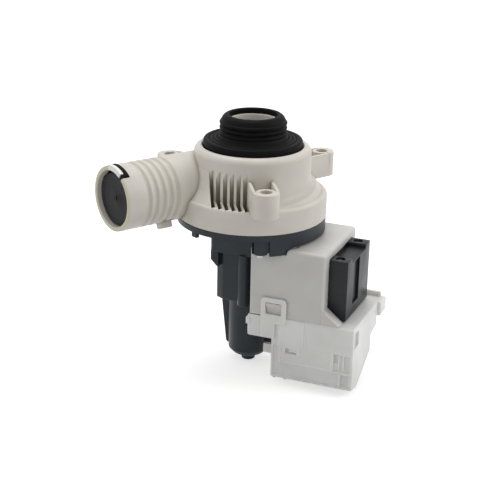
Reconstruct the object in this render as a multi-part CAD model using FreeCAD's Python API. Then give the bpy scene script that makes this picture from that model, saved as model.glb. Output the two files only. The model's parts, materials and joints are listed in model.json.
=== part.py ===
import FreeCAD, Part
import math
import os

# Washing machine drain pump, in millimetres.
# The solids are drawn with the pump axis on Z and z = 0 on the joint between the pump
# casing and the motor housing. At the end every solid is lowered by EAR_TOP, so that the
# finished part has its origin on the mounting ears' seating face, in the middle of the
# screw circle. X runs from the rotor can towards the coils, and Z points up.

V = FreeCAD.Vector
UP = V(0, 0, 1)

# Fits and clearances
FIT = 0.15
LOOSE = 0.3
SHAFT_CLEARANCE = 0.04

# Pump casing
SKIRT_R = 52.0
SKIRT_H = 14.6
SKIRT_WALL = 2.4
LEDGE_ROUND = 2.2
CASING_R = 40.4
CASING_TOP = 48.5
CASING_WALL = 2.6
SHOULDER_ROUND = 4.6
ROOF_Z = 45.0
ROOF_RIM_R = 35.0
CHAMBER_R = 35.5
CHAMBER_OFFSET = 2.2
TONGUE_AZ = 268.0
SPIGOT_R = 17.2
SPIGOT_BORE_R = 15.6
SPIGOT_TOP = 65.8
SUCTION_BOTTOM = 27.5
SKIRT_POCKET_SPAN = 88.0

# Rising water channel round the casing
CHANNEL_FIRST_AZ = 310.0
CHANNEL_SPAN = 199.0
CHANNEL_SECTIONS = 6
CHANNEL_RISE = 1.2
CHANNEL_R = 51.0
CHANNEL_ROUND = 7.0
CHANNEL_INNER_R = 23.0
CHANNEL_BASE = 10.0

# Ribbed pockets between the outlet and the front ear
POCKET_FIRST_AZ = 251.6
POCKET_PITCH = 6.65
POCKET_COUNT = 6
POCKET_WIDTH = 3.3
POCKET_FLOOR = 10.5
POCKET_TOP = 38.0
POCKET_DEPTH_R = 36.4
POCKET_DEEP_TO = 24.0
TRENCH_FLOOR = 10.5
TRENCH_RIM = 2.2

# Mounting ears
EAR_COUNT = 3
EAR_FIRST_AZ = 60.0
EAR_CIRCLE_R = 62.9
EAR_BOSS_R = 8.75
EAR_HOLE_R = 4.1
EAR_TOP = 33.9
EAR_BOTTOM = 17.0
EAR_WEB = 2.0
EAR_POCKET_FLOOR = 20.5

# Outlet spigot with the check valve
OUTLET_AZ = 239.0
OUTLET_OFFSET = 24.0
OUTLET_Z = 20.0
OUTLET_REACH = 98.4
BARREL_R = 22.3
OUTLET_BORE_R = 17.8
MOUTH_BORE_R = 19.2
MOUTH_R = 22.2
MOUTH_DEPTH = 8.0
MOUTH_SLEEVE = 22.8
HOSE_RIDGES = 4
RIDGE_PITCH = 4.1
GROOVE_R = 21.2
BORE_START = 17.0
TAB_START = 29.8
TAB_LENGTH = 10.0
TAB_WIDTH = 6.0
TAB_RISE = 3.6
TAB_ANGLE = -67.0

# Slot in the mouth for the valve's rubber strap
SLOT_FIRST = 52.0
SLOT_LAST = 102.0
SLOT_DEPTH = 5.0
TONGUE_FIRST = 57.0
TONGUE_DEPTH = 2.7

# Check valve
FLAP_R = 18.7
FLAP_TOP_R = 17.1
FLAP_SHOULDER = 8.1
FLAP_T = 2.0
FLAP_FACE_DEPTH = 3.2
FLAP_SEAT_GAP = 0.25
VALVE_RING_BORE_R = 16.4
HINGE_RADIUS = 17.7
HINGE_BEAD_R = 1.0
HINGE_HALF_LENGTH = 5.2
STRAP_HALF_WIDTH = 6.2
RIVET_R = 1.7
RIVET_H = 0.7

# Inlet sleeve
SLEEVE_FLANGE_R = 34.3
SLEEVE_FLANGE_TOP = 53.5
SLEEVE_TOP = 69.8
SLEEVE_LIP_R = 16.4
SLEEVE_BROW_R = 19.8
SLEEVE_NECK_R = 22.0
SLEEVE_NECK_Z = 57.0
SLEEVE_STEP_R = 27.0
SLEEVE_RIDGE_R = 23.4
SLEEVE_RIDGES = 2
SLEEVE_PITCH = 4.8

# Impeller and rotor
SHAFT_R = 2.0
SHAFT_TOP = 25.0
SHAFT_BOTTOM = -98.5
ROTOR_R = 11.8
ROTOR_GAP = 0.6
ROTOR_TOP = -16.0
ROTOR_BOTTOM = -70.0
IMPELLER_R = 20.5
IMPELLER_BASE = 3.0
IMPELLER_DISC_T = 1.8
BLADE_COUNT = 6
BLADE_T = 1.8
BLADE_TOP = 24.0
HUB_R = 9.4
HUB_CAVITY_R = 7.4
HUB_TOP = 18.0
HUB_CAVITY_TOP = 15.6
DRIVER_R = 4.2
DRIVER_BASE = 5.4
DRIVER_TOP = 14.8
DOG_SPAN = 50.0
CLIP_WIDTH = 7.6
CLIP_T = 1.0

# Bearings
BEARING_R = 4.2
BEARING_L = 8.0
HOLDER_R = 15.4
HOLDER_TOP = 0.2

# Motor housing
FLANGE_R = 51.8
FLANGE_T = 4.4
CAN_WALL = 2.1
CAN_BOTTOM = -103.0
CAN_FLOOR = -90.0
DOME_BOTTOM = -107.6
DOME_R = 8.6
NUB_R = 4.9
NUB_BOTTOM = -112.0
HEAD_X = 21.0
HEAD_Y = 24.0
HEAD_BOTTOM = -25.0
HEAD_ROUND = 3.0
CHEEK_X = 15.4
CHEEK_Y = 22.0
CHEEK_BOTTOM = -36.0
CHEEK_SLOPE = 4.0
BOX_X = 18.4
BOX_BOTTOM = -61.2
BOX_WALL = 2.0
BOX_TAPER = 3.0
COLUMN_X = 4.0
COLUMN_R = 5.0
COLUMN_BOTTOM = -62.4
FIN_R_TOP = 21.3
FIN_R_BOTTOM = 17.2
FIN_T = 2.6
FIN_TOP = -66.0
FIN_BOTTOM = -102.5
RIM_BOTTOM = -9.8
RIM_WALL = 2.4
RIM_LAST = 37.0
APRON_BOTTOM = -15.0
APRON_FIRST = 306.0

# Seal and screws between casing and motor housing
SEAL_R = 39.4
SEAL_W = 2.6
SEAL_H = 2.4
SCREW_CIRCLE_R = 45.4
SCREW_BOSS_R = 4.9
SCREW_BOSS_BOTTOM = -14.8
SCREW_SHANK_R = 1.75
SCREW_HEAD_W = 5.0
SCREW_HEAD_H = 2.2
SCREW_TOP = 12.0
HOOK_AZ = 244.0
HOOK_WIDTH = 5.0
HOOK_BOTTOM = -7.6

# Laminated core
STACK_TOP = -27.0
STACK_BOTTOM = -57.0
ARM_IN = 13.0
ARM_W = 10.0
POLE_T = 2.8
POLE_TIP_X = 11.0
POLE_END_ANGLE = 61.0
ARM_START_X = 19.0
YOKE_END_X = 77.3

# Coils
BOBBIN_START = 21.0
BOBBIN_END = 64.2
BOBBIN_WALL = 1.2
BOBBIN_FLANGE = 1.6
COIL_T = 5.6
COIL_ROUND = 4.0

# Motor cover
COVER_START = 14.0
COVER_END = 66.7
COVER_Y = 34.0
COVER_TOP = -11.5
COVER_BOTTOM = -61.0
COVER_WALL = 2.0
COVER_ROUND = 2.6
WEDGE_TOP = -50.0
WEDGE_REACH = 11.3

# Yoke cap
CAP_END = 79.7
CAP_Y = 25.0
CAP_TOP = -20.0
CAP_BOTTOM = -60.0
CAP_CORNER_TOP = -17.0
CAP_SLOT_Y = 4.5
CAP_SLOT_W = 13.0
CAP_SLOT_TOP = -21.0
CAP_SLOT_BOTTOM = -52.0
CAP_SLOT_DEPTH = 1.8
BOLT_X = 72.5
BOLT_Y = 19.6
BOLT_R = 1.9
BOLT_WELL_R = 3.4
BOLT_HEAD_W = 5.5
BOLT_HEAD_H = 2.0
BOLT_SUNK = 1.5
CAP_CORNER = 10.0

# Terminal shroud
SHROUD_START = 30.0
SHROUD_END = 89.0
SHROUD_WALL = 2.0
SHROUD_BOTTOM = -106.0
SHROUD_TIP_Y = -22.0
SHROUD_TIP_Z = -108.6
SHROUD_HEEL_Y = 8.2
SHROUD_HEEL_Z = -92.5
SHROUD_STEP_Z = -81.0
SHROUD_SHELF_Y = 21.0
SHROUD_SHELF_Z = -71.5
WING_START = 12.0
WING_TOP = -62.0
WING_BOTTOM = -77.5
WING_T = 6.0
PANEL_DEPTH = 0.9
PANEL_FIRST = 37.0
PANEL_LAST = 75.7
PANEL_BOTTOM = -93.5
PANEL_CORNER = -80.0
LATTICE_STEP = 3.2
LATTICE_W = 1.0
PAD_FIRST = 35.0
PAD_LAST = 54.0
PAD_BOTTOM = -81.5
NOTCH_FIRST = 41.0
NOTCH_LAST = 49.0
NOTCH_TOP = -82.6
NOTCH_BOTTOM = -86.4
FOOT_R = 1.2
ARM_TAB_START = 10.0
ARM_TAB_Y = -19.0
ARM_TAB_T = 3.0
ARM_TAB_TOP = -89.5
ARM_TAB_BOTTOM = -96.0
END_LATCH_Y = 21.0
END_LATCH_T = 2.4
END_LATCH_BOTTOM = -71.0
END_SLOT_FIRST = -31.0
END_SLOT_LAST = -23.5
END_SLOT_TOP = -65.0
END_SLOT_BOTTOM = -76.0
LOOP_FIRST = 22.6
LOOP_LAST = 41.0
LOOP_TOP = -47.0
LOOP_BAND = 3.4
LOOP_T = 2.2
LOOP_FOOT_END = 33.0
LOOP_FOOT_Z = -76.0
CATCH_GAP = 0.4

# Terminals
BLADE_W = 6.3
SPADE_T = 0.8
SPADE_X = (46.0, 62.0)
SPADE_Y = -16.0
SPADE_TOP = -63.0
SPADE_BOTTOM = -93.0
BLOCK_HALF_X = 7.0
BLOCK_HALF_Y = 5.0
BLOCK_BOTTOM = -72.0
CUTOUT_L = 14.0
CUTOUT_W = 8.0
CUTOUT_H = 3.4

# Derived sizes
CAN_BORE_R = ROTOR_R + ROTOR_GAP
CAN_R = CAN_BORE_R + CAN_WALL
POLE_R = CAN_R + LOOSE
POLE_OUT = POLE_R + POLE_T
ARM_OUT = ARM_IN + ARM_W
YOKE_X = YOKE_END_X - ARM_W
POLE_SHOULDER_X = COVER_START + LOOSE
BOX_Y = POLE_OUT + LOOSE + BOX_WALL
ARM_MID = (ARM_IN + ARM_OUT) / 2
RING_DEPTH = FLAP_FACE_DEPTH + FLAP_T + FLAP_SEAT_GAP
APRON_LAST = 360.0 - math.degrees(math.asin((COVER_Y + LOOSE) / (FLANGE_R - RIM_WALL)))
RIM_FIRST = APRON_LAST - 360.0


def outline(points):
    """Closed wire in a plane: a pair is a corner, four numbers are an arc's middle and end."""
    edges = []
    last = points[0]
    for item in points[1:] + points[:1]:
        start = V(last[-2], last[-1], 0)
        end = V(item[-2], item[-1], 0)
        if len(item) == 4:
            middle = V(item[0], item[1], 0)
            edges.append(Part.Arc(start, middle, end).toShape())
        elif start.distanceToPoint(end) > 1e-6:
            edges.append(Part.makeLine(start, end))
        last = item
    return Part.Wire(edges)


def slab(points, low, high):
    """Outline in X and Y, from level low to level high."""
    face = Part.Face(outline(points))
    face.translate(V(0, 0, low))
    return face.extrude(V(0, 0, high - low))


def side_slab(points, first, last):
    """Outline in X and Z, from y = first to y = last."""
    face = Part.Face(outline(points))
    face.rotate(V(), V(1, 0, 0), 90)
    face.translate(V(0, first, 0))
    return face.extrude(V(0, last - first, 0))


def end_slab(points, first, last):
    """Outline in Y and Z, from x = first to x = last."""
    face = Part.Face(outline(points))
    face.rotate(V(), V(1, 1, 1), 120)
    face.translate(V(first, 0, 0))
    return face.extrude(V(last - first, 0, 0))


def turned(points):
    """Outline in radius and Z, turned once round the Z axis."""
    face = Part.Face(outline(points))
    face.rotate(V(), V(1, 0, 0), 90)
    return face.revolve(V(), UP, 360)


def block(x0, x1, y0, y1, z0, z1):
    return Part.makeBox(x1 - x0, y1 - y0, z1 - z0, V(x0, y0, z0))


def drum(radius, low, high, x=0.0, y=0.0):
    return Part.makeCylinder(radius, high - low, V(x, y, low), UP)


def tube(outer, inner, low, high, x=0.0, y=0.0):
    return drum(outer, low, high, x, y).cut(drum(inner, low, high, x, y))


def sector(inner, outer, low, high, first, last):
    """Part of a ring between two angles in degrees."""
    swing = last - first
    middle = math.radians(first + swing / 2)
    a = math.radians(first)
    b = math.radians(last)
    points = [(inner * math.cos(a), inner * math.sin(a)),
              (outer * math.cos(a), outer * math.sin(a)),
              (outer * math.cos(middle), outer * math.sin(middle),
               outer * math.cos(b), outer * math.sin(b)),
              (inner * math.cos(b), inner * math.sin(b)),
              (inner * math.cos(middle), inner * math.sin(middle),
               inner * math.cos(a), inner * math.sin(a))]
    return slab(points, low, high)


def fused(first, *others):
    return first.multiFuse(list(others)).removeSplitter()


def turn(shape, degrees):
    copy = shape.copy()
    copy.rotate(V(), UP, degrees)
    return copy


def mirrored(shape):
    """The same shape on the other side of the XZ plane."""
    return shape.mirror(V(), V(0, 1, 0))


def rounded(shape, radius, wanted):
    """Fillet on the edges whose middle point passes the test."""
    edges = [e for e in shape.Edges if wanted(e.CenterOfMass, e)]
    return shape.makeFillet(radius, edges)


def outlet_place():
    """Frame of the outlet: its own Z runs out of the mouth, and its own Y points up."""
    a = math.radians(OUTLET_AZ)
    out = V(math.cos(a), math.sin(a), 0)
    side = V(-out.y, out.x, 0)
    foot = V(-side.x * OUTLET_OFFSET, -side.y * OUTLET_OFFSET, OUTLET_Z)
    matrix = FreeCAD.Matrix(side.x, 0, out.x, foot.x,
                            side.y, 0, out.y, foot.y,
                            side.z, 1, out.z, foot.z,
                            0, 0, 0, 1)
    return FreeCAD.Placement(matrix)


def at_outlet(shape):
    copy = shape.copy()
    copy.Placement = outlet_place().multiply(copy.Placement)
    return copy


def depth(distance):
    """Level in the outlet's frame of a plane this far inside the mouth."""
    return OUTLET_REACH - distance


def slot_middle():
    return (SLOT_FIRST + SLOT_LAST) / 2


def ledge_z():
    return SKIRT_H + LEDGE_ROUND


def bend(radius, level, size, first, last, steps):
    """Corners along a round edge, in radius and height, between two directions in degrees."""
    corners = []
    for i in range(steps + 1):
        a = math.radians(first + (last - first) * i / steps)
        corners.append((radius + size * math.cos(a), level + size * math.sin(a)))
    return corners


def casing_body():
    """Outside of the casing without ears and outlet, as one turned form."""
    points = [(0, 0), (SKIRT_R, 0)]
    points += bend(SKIRT_R - LEDGE_ROUND, SKIRT_H, LEDGE_ROUND, 0, 90, 1)
    points.append((CASING_R, ledge_z()))
    points += bend(CASING_R - SHOULDER_ROUND, CASING_TOP - SHOULDER_ROUND, SHOULDER_ROUND, 0, 90, 2)
    points += [(ROOF_RIM_R, CASING_TOP), (ROOF_RIM_R, ROOF_Z), (0, ROOF_Z)]
    return turned(points)


def ear(azimuth):
    """Screw eye on two webs with a pocket between them."""
    wall_r = CASING_R - CASING_WALL / 2
    arm = block(wall_r, EAR_CIRCLE_R, -EAR_BOSS_R, EAR_BOSS_R, EAR_BOTTOM, EAR_TOP)
    half = EAR_BOSS_R - EAR_WEB
    pocket = block(CASING_R - EAR_WEB, EAR_CIRCLE_R, -half, half, EAR_POCKET_FLOOR,
                   EAR_TOP + 1)
    eye = drum(EAR_BOSS_R, EAR_BOTTOM, EAR_TOP, EAR_CIRCLE_R)
    hole = drum(EAR_HOLE_R, EAR_BOTTOM - 1, EAR_TOP + 1, EAR_CIRCLE_R)
    return turn(fused(arm.cut(pocket), eye).cut(hole), azimuth)


def ear_azimuths():
    return [EAR_FIRST_AZ + i * 360.0 / EAR_COUNT for i in range(EAR_COUNT)]


def water_channel():
    """Channel whose top and round grow from the front ear round to the outlet."""
    sections = []
    for i in range(CHANNEL_SECTIONS + 1):
        part = i / CHANNEL_SECTIONS
        top = ledge_z() + (OUTLET_Z + BARREL_R - ledge_z()) * part ** CHANNEL_RISE
        reach = CHANNEL_R + (OUTLET_OFFSET + BARREL_R - CHANNEL_R) * part
        size = min(CHANNEL_ROUND + (BARREL_R - CHANNEL_ROUND) * part, top - CHANNEL_BASE - 1)
        points = [(CHANNEL_INNER_R, CHANNEL_BASE), (reach, CHANNEL_BASE)]
        points += bend(reach - size, top - size, size, 0, 90, 2)
        points.append((CHANNEL_INNER_R, top))
        section = outline(points)
        section.rotate(V(), V(1, 0, 0), 90)
        section.rotate(V(), UP, CHANNEL_FIRST_AZ + CHANNEL_SPAN * part)
        sections.append(section)
    return Part.makeLoft(sections, True, False)


def rib_pockets():
    """Upright slots beside the outlet that run out at their top, and the trench before them."""
    reach = SKIRT_R - TRENCH_RIM - 1
    side = [(POCKET_DEPTH_R, POCKET_FLOOR), (reach, POCKET_FLOOR), (reach, POCKET_TOP),
            (CASING_R, POCKET_TOP), (POCKET_DEPTH_R, POCKET_DEEP_TO)]
    cuts = []
    for i in range(POCKET_COUNT):
        slot = side_slab(side, -POCKET_WIDTH / 2, POCKET_WIDTH / 2)
        cuts.append(turn(slot, POCKET_FIRST_AZ + i * POCKET_PITCH))
    edge = math.degrees(POCKET_WIDTH / 2 / CASING_R)
    first = POCKET_FIRST_AZ - edge
    last = POCKET_FIRST_AZ + POCKET_PITCH * (POCKET_COUNT - 1) + edge
    cuts.append(sector(CASING_R, SKIRT_R - TRENCH_RIM, TRENCH_FLOOR, ledge_z() + 1, first, last))
    return cuts


def outlet_barrel():
    """Outside of the outlet: mouth sleeve, hose ridges and plain barrel."""
    crest = MOUTH_SLEEVE + HOSE_RIDGES * RIDGE_PITCH
    half = RIDGE_PITCH / 2
    points = [(0, 0), (BARREL_R, 0), (BARREL_R, depth(crest + half)), (GROOVE_R, depth(crest))]
    for i in range(HOSE_RIDGES):
        near = crest - (i + 1) * RIDGE_PITCH
        points += [(BARREL_R, depth(near + half)), (GROOVE_R, depth(near))]
    points += [(MOUTH_R, depth(MOUTH_SLEEVE - half)), (MOUTH_R, depth(0)), (0, depth(0))]
    return turned(points)


def outlet_passage():
    """Water way of the outlet, with the wider mouth that takes the valve ring."""
    points = [(0, BORE_START), (OUTLET_BORE_R, BORE_START), (OUTLET_BORE_R, depth(MOUTH_DEPTH)),
              (MOUTH_BORE_R, depth(MOUTH_DEPTH)), (MOUTH_BORE_R, depth(-1)), (0, depth(-1))]
    return turned(points)


def hose_stop():
    """Small key under the outlet that lines up the hose."""
    low = depth(TAB_START + TAB_LENGTH)
    key = block(MOUTH_R - 1, BARREL_R + TAB_RISE, -TAB_WIDTH / 2, TAB_WIDTH / 2, low,
                low + TAB_LENGTH)
    return turn(key, TAB_ANGLE)


def casing_passages():
    """Chamber, outlet way, the pockets under the skirt, and everything below the joint plane."""
    offset = turn(Part.Vertex(-CHAMBER_OFFSET, 0, 0), TONGUE_AZ).Point
    chamber = drum(CHAMBER_R, -1, ROOF_Z - CASING_WALL, offset.x, offset.y)
    cuts = [chamber, at_outlet(outlet_passage())]
    half = SKIRT_POCKET_SPAN / 2
    for a in ear_azimuths():
        middle = a + 180.0 / EAR_COUNT
        pocket = sector(SEAL_R + SEAL_W / 2 + CASING_WALL, SKIRT_R - SKIRT_WALL, -1,
                        TRENCH_FLOOR - SKIRT_WALL, middle - half, middle + half)
        cuts.append(pocket.cut(at_outlet(drum(BARREL_R, 0, OUTLET_REACH))))
    cuts.append(drum(SKIRT_R + LOOSE, -BARREL_R, 0))
    return cuts


def volute_housing():
    barrel = at_outlet(fused(outlet_barrel(), hose_stop()))
    core = fused(casing_body(), water_channel()).cut(rib_pockets())
    body = fused(core, barrel, *[ear(a) for a in ear_azimuths()])
    shell = body.cut(casing_passages())
    spigot = drum(SPIGOT_R, SUCTION_BOTTOM, SPIGOT_TOP)
    slot = sector(MOUTH_BORE_R - 1, BARREL_R, depth(SLOT_DEPTH), depth(-1), SLOT_FIRST, SLOT_LAST)
    cuts = [drum(SPIGOT_BORE_R, SUCTION_BOTTOM - 1, SPIGOT_TOP + 1), at_outlet(slot)]
    for a in ear_azimuths():
        cuts.append(turn(drum(SCREW_SHANK_R + FIT, -1, SCREW_TOP + 1, SCREW_CIRCLE_R), a))
    shell = fused(shell, spigot).cut(cuts)
    tongue = sector(MOUTH_BORE_R + LOOSE, MOUTH_R, depth(TONGUE_DEPTH), depth(0), TONGUE_FIRST,
                    SLOT_LAST + 2)
    return fused(shell, at_outlet(tongue))


def hinge_axis_shape(radius, half_length):
    """Round bar along the valve's hinge line, in the outlet's frame."""
    level = depth(FLAP_FACE_DEPTH + FLAP_T / 2)
    bar = Part.makeCylinder(radius, 2 * half_length, V(HINGE_RADIUS, -half_length, level),
                            V(0, 1, 0))
    return turn(bar, slot_middle())


def valve_ring():
    """Rubber seat ring in the mouth, with the strap that comes up through the slot."""
    ring = tube(MOUTH_BORE_R - FIT, VALVE_RING_BORE_R, depth(MOUTH_DEPTH), depth(RING_DEPTH))
    edge = 1.0
    strap_top = MOUTH_R - LOOSE
    strap = sector(MOUTH_BORE_R - FIT - edge, strap_top, depth(SLOT_DEPTH - FIT),
                   depth(TONGUE_DEPTH + FIT), SLOT_FIRST + edge, SLOT_LAST - edge)
    leg = sector(MOUTH_BORE_R + FIT, strap_top, depth(SLOT_DEPTH - FIT), depth(LOOSE),
                 SLOT_FIRST + edge, TONGUE_FIRST - edge)
    tie = sector(VALVE_RING_BORE_R + edge, MOUTH_BORE_R - FIT, depth(MOUTH_DEPTH),
                 depth(SLOT_DEPTH - FIT), SLOT_FIRST + edge, SLOT_LAST - edge)
    swing_room = block(0, HINGE_RADIUS + 2 * LOOSE, -STRAP_HALF_WIDTH - edge,
                       STRAP_HALF_WIDTH + edge, depth(RING_DEPTH), depth(0))
    bead_room = hinge_axis_shape(HINGE_BEAD_R + LOOSE, HINGE_HALF_LENGTH + LOOSE)
    flap_room = drum(FLAP_R + LOOSE, depth(RING_DEPTH), depth(0))
    flap_room = flap_room.cut(turn(block(FLAP_SHOULDER, BARREL_R, -BARREL_R, BARREL_R,
                                         depth(MOUTH_DEPTH), depth(0)), slot_middle()))
    body = fused(ring, strap, leg, tie)
    return at_outlet(body.cut([turn(swing_room, slot_middle()), bead_room, flap_room]))


def valve_flap():
    """Round rubber flap with a bead along its hinge line."""
    low = depth(FLAP_FACE_DEPTH + FLAP_T)
    high = depth(FLAP_FACE_DEPTH)
    lower = drum(FLAP_R, low, high).cut(block(FLAP_SHOULDER, BARREL_R, -BARREL_R, BARREL_R,
                                              low, high))
    neck = block(0, HINGE_RADIUS, -HINGE_HALF_LENGTH, HINGE_HALF_LENGTH, low, high)
    body = fused(lower, drum(FLAP_TOP_R, low, high), neck)
    body = fused(turn(body, slot_middle()), hinge_axis_shape(HINGE_BEAD_R, HINGE_HALF_LENGTH))
    return at_outlet(body)


def flap_button():
    """Small moulded button in the middle of the flap."""
    face = depth(FLAP_FACE_DEPTH)
    return at_outlet(drum(RIVET_R, face, face + RIVET_H))


def inlet_sleeve():
    """Ribbed rubber sleeve over the inlet spigot."""
    points = [(SLEEVE_FLANGE_R, ROOF_Z), (SLEEVE_FLANGE_R, SLEEVE_FLANGE_TOP),
              (SLEEVE_STEP_R, SLEEVE_FLANGE_TOP), (SLEEVE_NECK_R, SLEEVE_NECK_Z)]
    level = SLEEVE_NECK_Z
    for i in range(SLEEVE_RIDGES):
        points.append((SLEEVE_RIDGE_R, level + SLEEVE_PITCH / 2))
        level += SLEEVE_PITCH
        points.append((SLEEVE_NECK_R, level))
    points += [(SLEEVE_BROW_R, SLEEVE_TOP), (SLEEVE_LIP_R, SLEEVE_TOP),
               (SLEEVE_LIP_R, SPIGOT_TOP + FIT), (SPIGOT_R + FIT, SPIGOT_TOP + FIT),
               (SPIGOT_R + FIT, ROOF_Z)]
    return turned(points)


def impeller():
    """Back plate, straight blades and a hollow hub with a driving dog inside."""
    base_top = IMPELLER_BASE + IMPELLER_DISC_T
    plate = tube(IMPELLER_R, HUB_CAVITY_R, IMPELLER_BASE, base_top)
    hub = drum(HUB_R, IMPELLER_BASE, HUB_TOP).cut(drum(HUB_CAVITY_R, IMPELLER_BASE,
                                                       HUB_CAVITY_TOP))
    blade_points = [(HUB_R - 1, IMPELLER_BASE), (IMPELLER_R, IMPELLER_BASE),
                    (IMPELLER_R, BLADE_TOP - 3), (IMPELLER_R - 2, BLADE_TOP),
                    (HUB_R + 3, BLADE_TOP), (HUB_R, HUB_TOP), (HUB_R - 1, HUB_TOP)]
    blades = []
    for i in range(BLADE_COUNT):
        blade = side_slab(blade_points, -BLADE_T / 2, BLADE_T / 2)
        blades.append(turn(blade, i * 360.0 / BLADE_COUNT))
    dog = sector(DRIVER_R + LOOSE, HUB_CAVITY_R + 0.5, DRIVER_BASE + LOOSE, HUB_CAVITY_TOP,
                 180 - DOG_SPAN / 2, 180 + DOG_SPAN / 2)
    bore = drum(SHAFT_R + SHAFT_CLEARANCE, IMPELLER_BASE - 1, BLADE_TOP + 1)
    return fused(plate, hub, dog, *blades).cut(bore)


def impeller_driver():
    """Plastic driver on the shaft, whose dog pushes the impeller after some free turn."""
    core = drum(DRIVER_R, DRIVER_BASE, DRIVER_TOP)
    dog = sector(DRIVER_R - 1, HUB_CAVITY_R - LOOSE, DRIVER_BASE, DRIVER_TOP, -DOG_SPAN / 2,
                 DOG_SPAN / 2)
    return fused(core, dog).cut(drum(SHAFT_R, DRIVER_BASE - 1, DRIVER_TOP + 1))


def hexagon(across, low, high, x=0.0, y=0.0):
    """Six-sided prism of the given width over its flats."""
    corner = across / math.sqrt(3)
    points = []
    for i in range(6):
        a = math.radians(60 * i)
        points.append((x + corner * math.cos(a), y + corner * math.sin(a)))
    return slab(points, low, high)


def impeller_clip():
    """Push-on retaining nut over the impeller's hub."""
    base = HUB_TOP + LOOSE
    return hexagon(CLIP_WIDTH, base, base + CLIP_T).cut(drum(SHAFT_R, base - 1, base + 2))


def rotor_shaft():
    chamfer = 0.5
    points = [(0, SHAFT_BOTTOM), (SHAFT_R - chamfer, SHAFT_BOTTOM),
              (SHAFT_R, SHAFT_BOTTOM + chamfer), (SHAFT_R, SHAFT_TOP - chamfer),
              (SHAFT_R - chamfer, SHAFT_TOP), (0, SHAFT_TOP)]
    return turned(points)


def rotor_magnet():
    return tube(ROTOR_R, SHAFT_R, ROTOR_BOTTOM, ROTOR_TOP)


def front_bearing_top():
    return HOLDER_TOP - 1.0


def rear_bearing_top():
    return CAN_FLOOR - 0.6


def bearing(top):
    return tube(BEARING_R, SHAFT_R + SHAFT_CLEARANCE, top - BEARING_L, top)


def bearing_holder():
    """Stopper in the top of the rotor can that carries the front bearing."""
    disc = drum(HOLDER_R, -SEAL_H, HOLDER_TOP)
    plug = drum(CAN_BORE_R - FIT, front_bearing_top() - BEARING_L, HOLDER_TOP)
    return fused(disc, plug).cut(drum(BEARING_R, front_bearing_top() - BEARING_L - 1,
                                      HOLDER_TOP + 1))


def housing_seal():
    return tube(SEAL_R + SEAL_W / 2, SEAL_R - SEAL_W / 2, -SEAL_H, 0)


def hex_screw(shank_r, head_width, head_h, seat, end):
    """Screw along Z with its head's seat and its shank's end at the given levels."""
    away = math.copysign(head_h, seat - end)
    head = hexagon(head_width, min(seat, seat + away), max(seat, seat + away))
    return fused(drum(shank_r, min(seat, end), max(seat, end)), head)


def housing_screws():
    """Screws that hold the motor housing to the casing, put in from below."""
    screws = []
    for a in ear_azimuths():
        screw = hex_screw(SCREW_SHANK_R, SCREW_HEAD_W, SCREW_HEAD_H, SCREW_BOSS_BOTTOM, SCREW_TOP)
        screw.translate(V(SCREW_CIRCLE_R, 0, 0))
        screws.append(turn(screw, a))
    return Part.makeCompound(screws)


def housing_flange():
    """Round flange under the casing, with its stiffening rim, apron and screw bosses."""
    plate = drum(FLANGE_R, -FLANGE_T, 0)
    inner = FLANGE_R - RIM_WALL
    rim = sector(inner, FLANGE_R, RIM_BOTTOM, -FLANGE_T, RIM_FIRST, RIM_LAST)
    apron = sector(inner, FLANGE_R, APRON_BOTTOM, -FLANGE_T, APRON_FIRST, APRON_LAST)
    bosses = [turn(drum(SCREW_BOSS_R, SCREW_BOSS_BOTTOM, -1, SCREW_CIRCLE_R), a)
              for a in ear_azimuths()]
    hook_half = math.degrees(HOOK_WIDTH / 2 / FLANGE_R)
    hook = sector(inner, FLANGE_R, HOOK_BOTTOM, -FLANGE_T, HOOK_AZ - hook_half,
                  HOOK_AZ + hook_half)
    return fused(plate, rim, apron, hook, *bosses)


def housing_head():
    """Neck between the flange and the stator box, with a cheek on its outer side."""
    body = block(-HEAD_X, COVER_START, -HEAD_Y, HEAD_Y, HEAD_BOTTOM, -FLANGE_T + 1)
    body = rounded(body, HEAD_ROUND, lambda p, e: p.x < -HEAD_X + 1 and abs(p.y) > HEAD_Y - 1
                   and e.Length > HEAD_Y / 2)
    points = [(-HEAD_X, HEAD_BOTTOM + 1), (-HEAD_X, CHEEK_BOTTOM + CHEEK_SLOPE),
              (-HEAD_X + CHEEK_SLOPE, CHEEK_BOTTOM), (-CHEEK_X, CHEEK_BOTTOM),
              (-CHEEK_X, HEAD_BOTTOM + 1)]
    cheek = side_slab(points, -CHEEK_Y, CHEEK_Y)
    return fused(body, cheek)


def stator_box():
    """Sleeve round the pole arms of the core, open towards the coils."""
    taper_y = BOX_Y - BOX_TAPER

    def plan(inset, end):
        return [(-BOX_X + inset, -taper_y + inset), (-BOX_X + 2 * BOX_TAPER, -BOX_Y + inset),
                (end, -BOX_Y + inset), (end, BOX_Y - inset),
                (-BOX_X + 2 * BOX_TAPER, BOX_Y - inset), (-BOX_X + inset, taper_y - inset)]

    outer = slab(plan(0, COVER_START), BOX_BOTTOM, HEAD_BOTTOM + 1)
    pocket = slab(plan(BOX_WALL, COVER_START + 1), STACK_BOTTOM - FIT, STACK_TOP + FIT)
    under = slab(plan(BOX_WALL, COVER_START - BOX_WALL), BOX_BOTTOM - 1,
                 STACK_BOTTOM - BOX_WALL)
    columns = []
    for y in (-BOX_Y, BOX_Y):
        columns.append(drum(COLUMN_R, COLUMN_BOTTOM, HEAD_BOTTOM, COLUMN_X, y))
    inner_room = slab(plan(BOX_WALL, COVER_START + 1), BOX_BOTTOM - 1, HEAD_BOTTOM)
    columns = [c.cut(inner_room) for c in columns]
    return fused(outer.cut([pocket, under]), *columns)


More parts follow.
